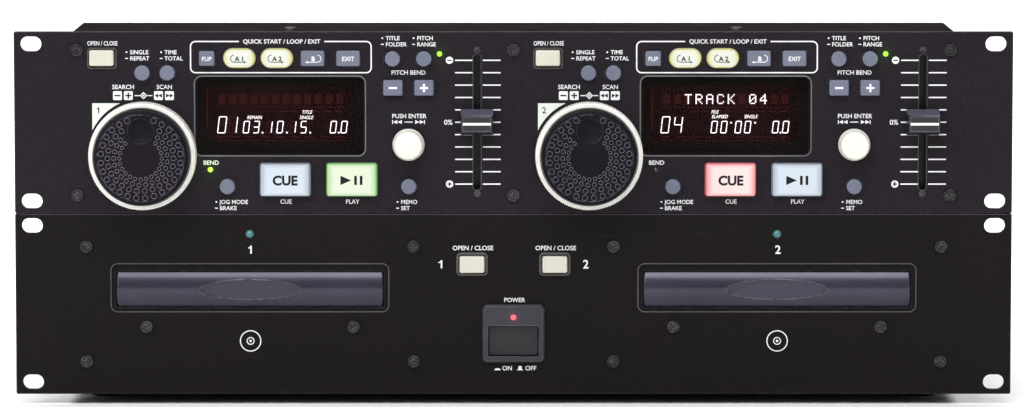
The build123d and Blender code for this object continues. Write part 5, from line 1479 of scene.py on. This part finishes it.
# ---------------------------------------------------------------- stage, lights and camera
@dataclass
class Studio:
    """The pale floor, the soft lights and the camera: metres, but millimetres for lens and sensor."""

    distance: float = 2.70
    eye_height: float = 0.353
    aim_height: float = 0.0979
    lens: float = 197.0
    horizon_light: float = 0.25
    floor_half: float = 12.0
    air_strength: float = 0.6
    full_light_height: float = 0.9
    glow_power: float = 0.0008
    glow_radius: float = 0.0015
    camera_aside: float = -0.0007
    sensor: float = 36.0

    def build(self, controller: Controller, drive: Drive) -> None:
        """Set the stage round the object."""
        self.floor()
        self.world()
        self.lamps()
        self.glows(controller, drive)
        self.camera(controller.face * MM)
        bpy.context.scene.view_settings.view_transform = "Standard"

    def floor(self) -> None:
        """A wide pale floor all round the object."""
        sheet = bmesh.new()
        half = self.floor_half
        sheet.faces.new([sheet.verts.new((x, y, 0.0))
                         for x, y in ((-half, -half), (half, -half), (half, half), (-half, half))])
        data = bpy.data.meshes.new("studio_floor")
        sheet.to_mesh(data)
        sheet.free()
        made = bpy.data.objects.new("studio_floor", data)
        bpy.context.scene.collection.objects.link(made)
        data.materials.append(Finish("floor_pale", srgb(250, 250, 249), srgb(246, 246, 245), 0.85,
                                     drift_scale=1.5, grain=200.0, relief_strength=0.05).material())

    def world(self) -> None:
        """Soft light from above that falls off towards the horizon."""
        world = bpy.data.worlds.new("studio_air")
        bpy.context.scene.world = world
        world.use_nodes = True
        sheet = NodeSheet(world.node_tree)
        air = sheet.tree.nodes["Background"]
        air.inputs["Strength"].default_value = self.air_strength
        where = sheet.add("ShaderNodeTexCoord")
        parts = sheet.add("ShaderNodeSeparateXYZ")
        height = sheet.add("ShaderNodeMapRange")
        height.inputs["From Min"].default_value = 0.0
        height.inputs["From Max"].default_value = self.full_light_height
        height.inputs["To Min"].default_value = self.horizon_light
        sheet.join(where.outputs["Generated"], parts.inputs[0])
        sheet.join(parts.outputs["Z"], height.inputs["Value"])
        sheet.join(height.outputs["Result"], air.inputs["Color"])

    def area(self, name: str, place: Vector, aim: Vector, size: Point, power: float) -> None:
        """A soft rectangular light that faces a point.

        Args:
            name: the light's name.
            place: where it hangs, in metres.
            aim: the point it faces.
            size: its width and height, in metres.
            power: in watts.
        """
        data = bpy.data.lights.new(name, "AREA")
        data.shape = "RECTANGLE"
        data.size, data.size_y = size
        data.energy = power
        made = bpy.data.objects.new(name, data)
        made.location = place
        made.rotation_euler = (aim - place).to_track_quat("-Z", "Y").to_euler()
        bpy.context.scene.collection.objects.link(made)

    def lamps(self) -> None:
        """A wide soft light above the front, one from the left front and one behind for the floor."""
        target = Vector((0.0, 0.0, 0.1))
        self.area("front_light", Vector((-0.2, -1.45, 1.75)), target, (2.6, 0.9), 40.0)
        self.area("left_light", Vector((-2.0, -1.7, 1.2)), target, (1.2, 1.2), 16.0)
        self.area("back_light", Vector((0.0, 1.9, 2.3)), Vector((0.0, 1.4, 0.0)), (4.5, 2.0), 120.0)

    def glows(self, controller: Controller, drive: Drive) -> None:
        """Faint light that the lit lamps throw on the panel round them."""
        for index, (place, colour) in enumerate(controller.lights + drive.lights):
            data = bpy.data.lights.new(f"lamp_glow_{index}", "POINT")
            data.energy = self.glow_power
            data.color = colour[:3]
            data.shadow_soft_size = self.glow_radius
            made = bpy.data.objects.new(f"lamp_glow_{index}", data)
            made.location = Vector((place[0], controller.face - 4.0, place[1])) * MM
            bpy.context.scene.collection.objects.link(made)

    def camera(self, face_y: float) -> None:
        """A long lens straight in front of the panels and a little above them."""
        data = bpy.data.cameras.new("camera")
        data.lens = self.lens
        data.sensor_width = self.sensor
        made = bpy.data.objects.new("camera", data)
        place = Vector((self.camera_aside, face_y - self.distance, self.eye_height))
        aim = Vector((self.camera_aside, face_y, self.aim_height))
        made.location = place
        made.rotation_euler = (aim - place).to_track_quat("-Z", "Y").to_euler()
        bpy.context.scene.collection.objects.link(made)
        bpy.context.scene.camera = made


def main() -> None:
    """Dress the frame, add the pieces and set the stage."""
    logging.basicConfig(level=logging.INFO, format="%(name)s: %(message)s")
    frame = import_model()
    wardrobe = Wardrobe(frame["nodes"])
    controller = Controller()
    controller.build(wardrobe)
    drive = Drive()
    drive.build(wardrobe)
    Studio().build(controller, drive)


if __name__ == "__main__":
    main()
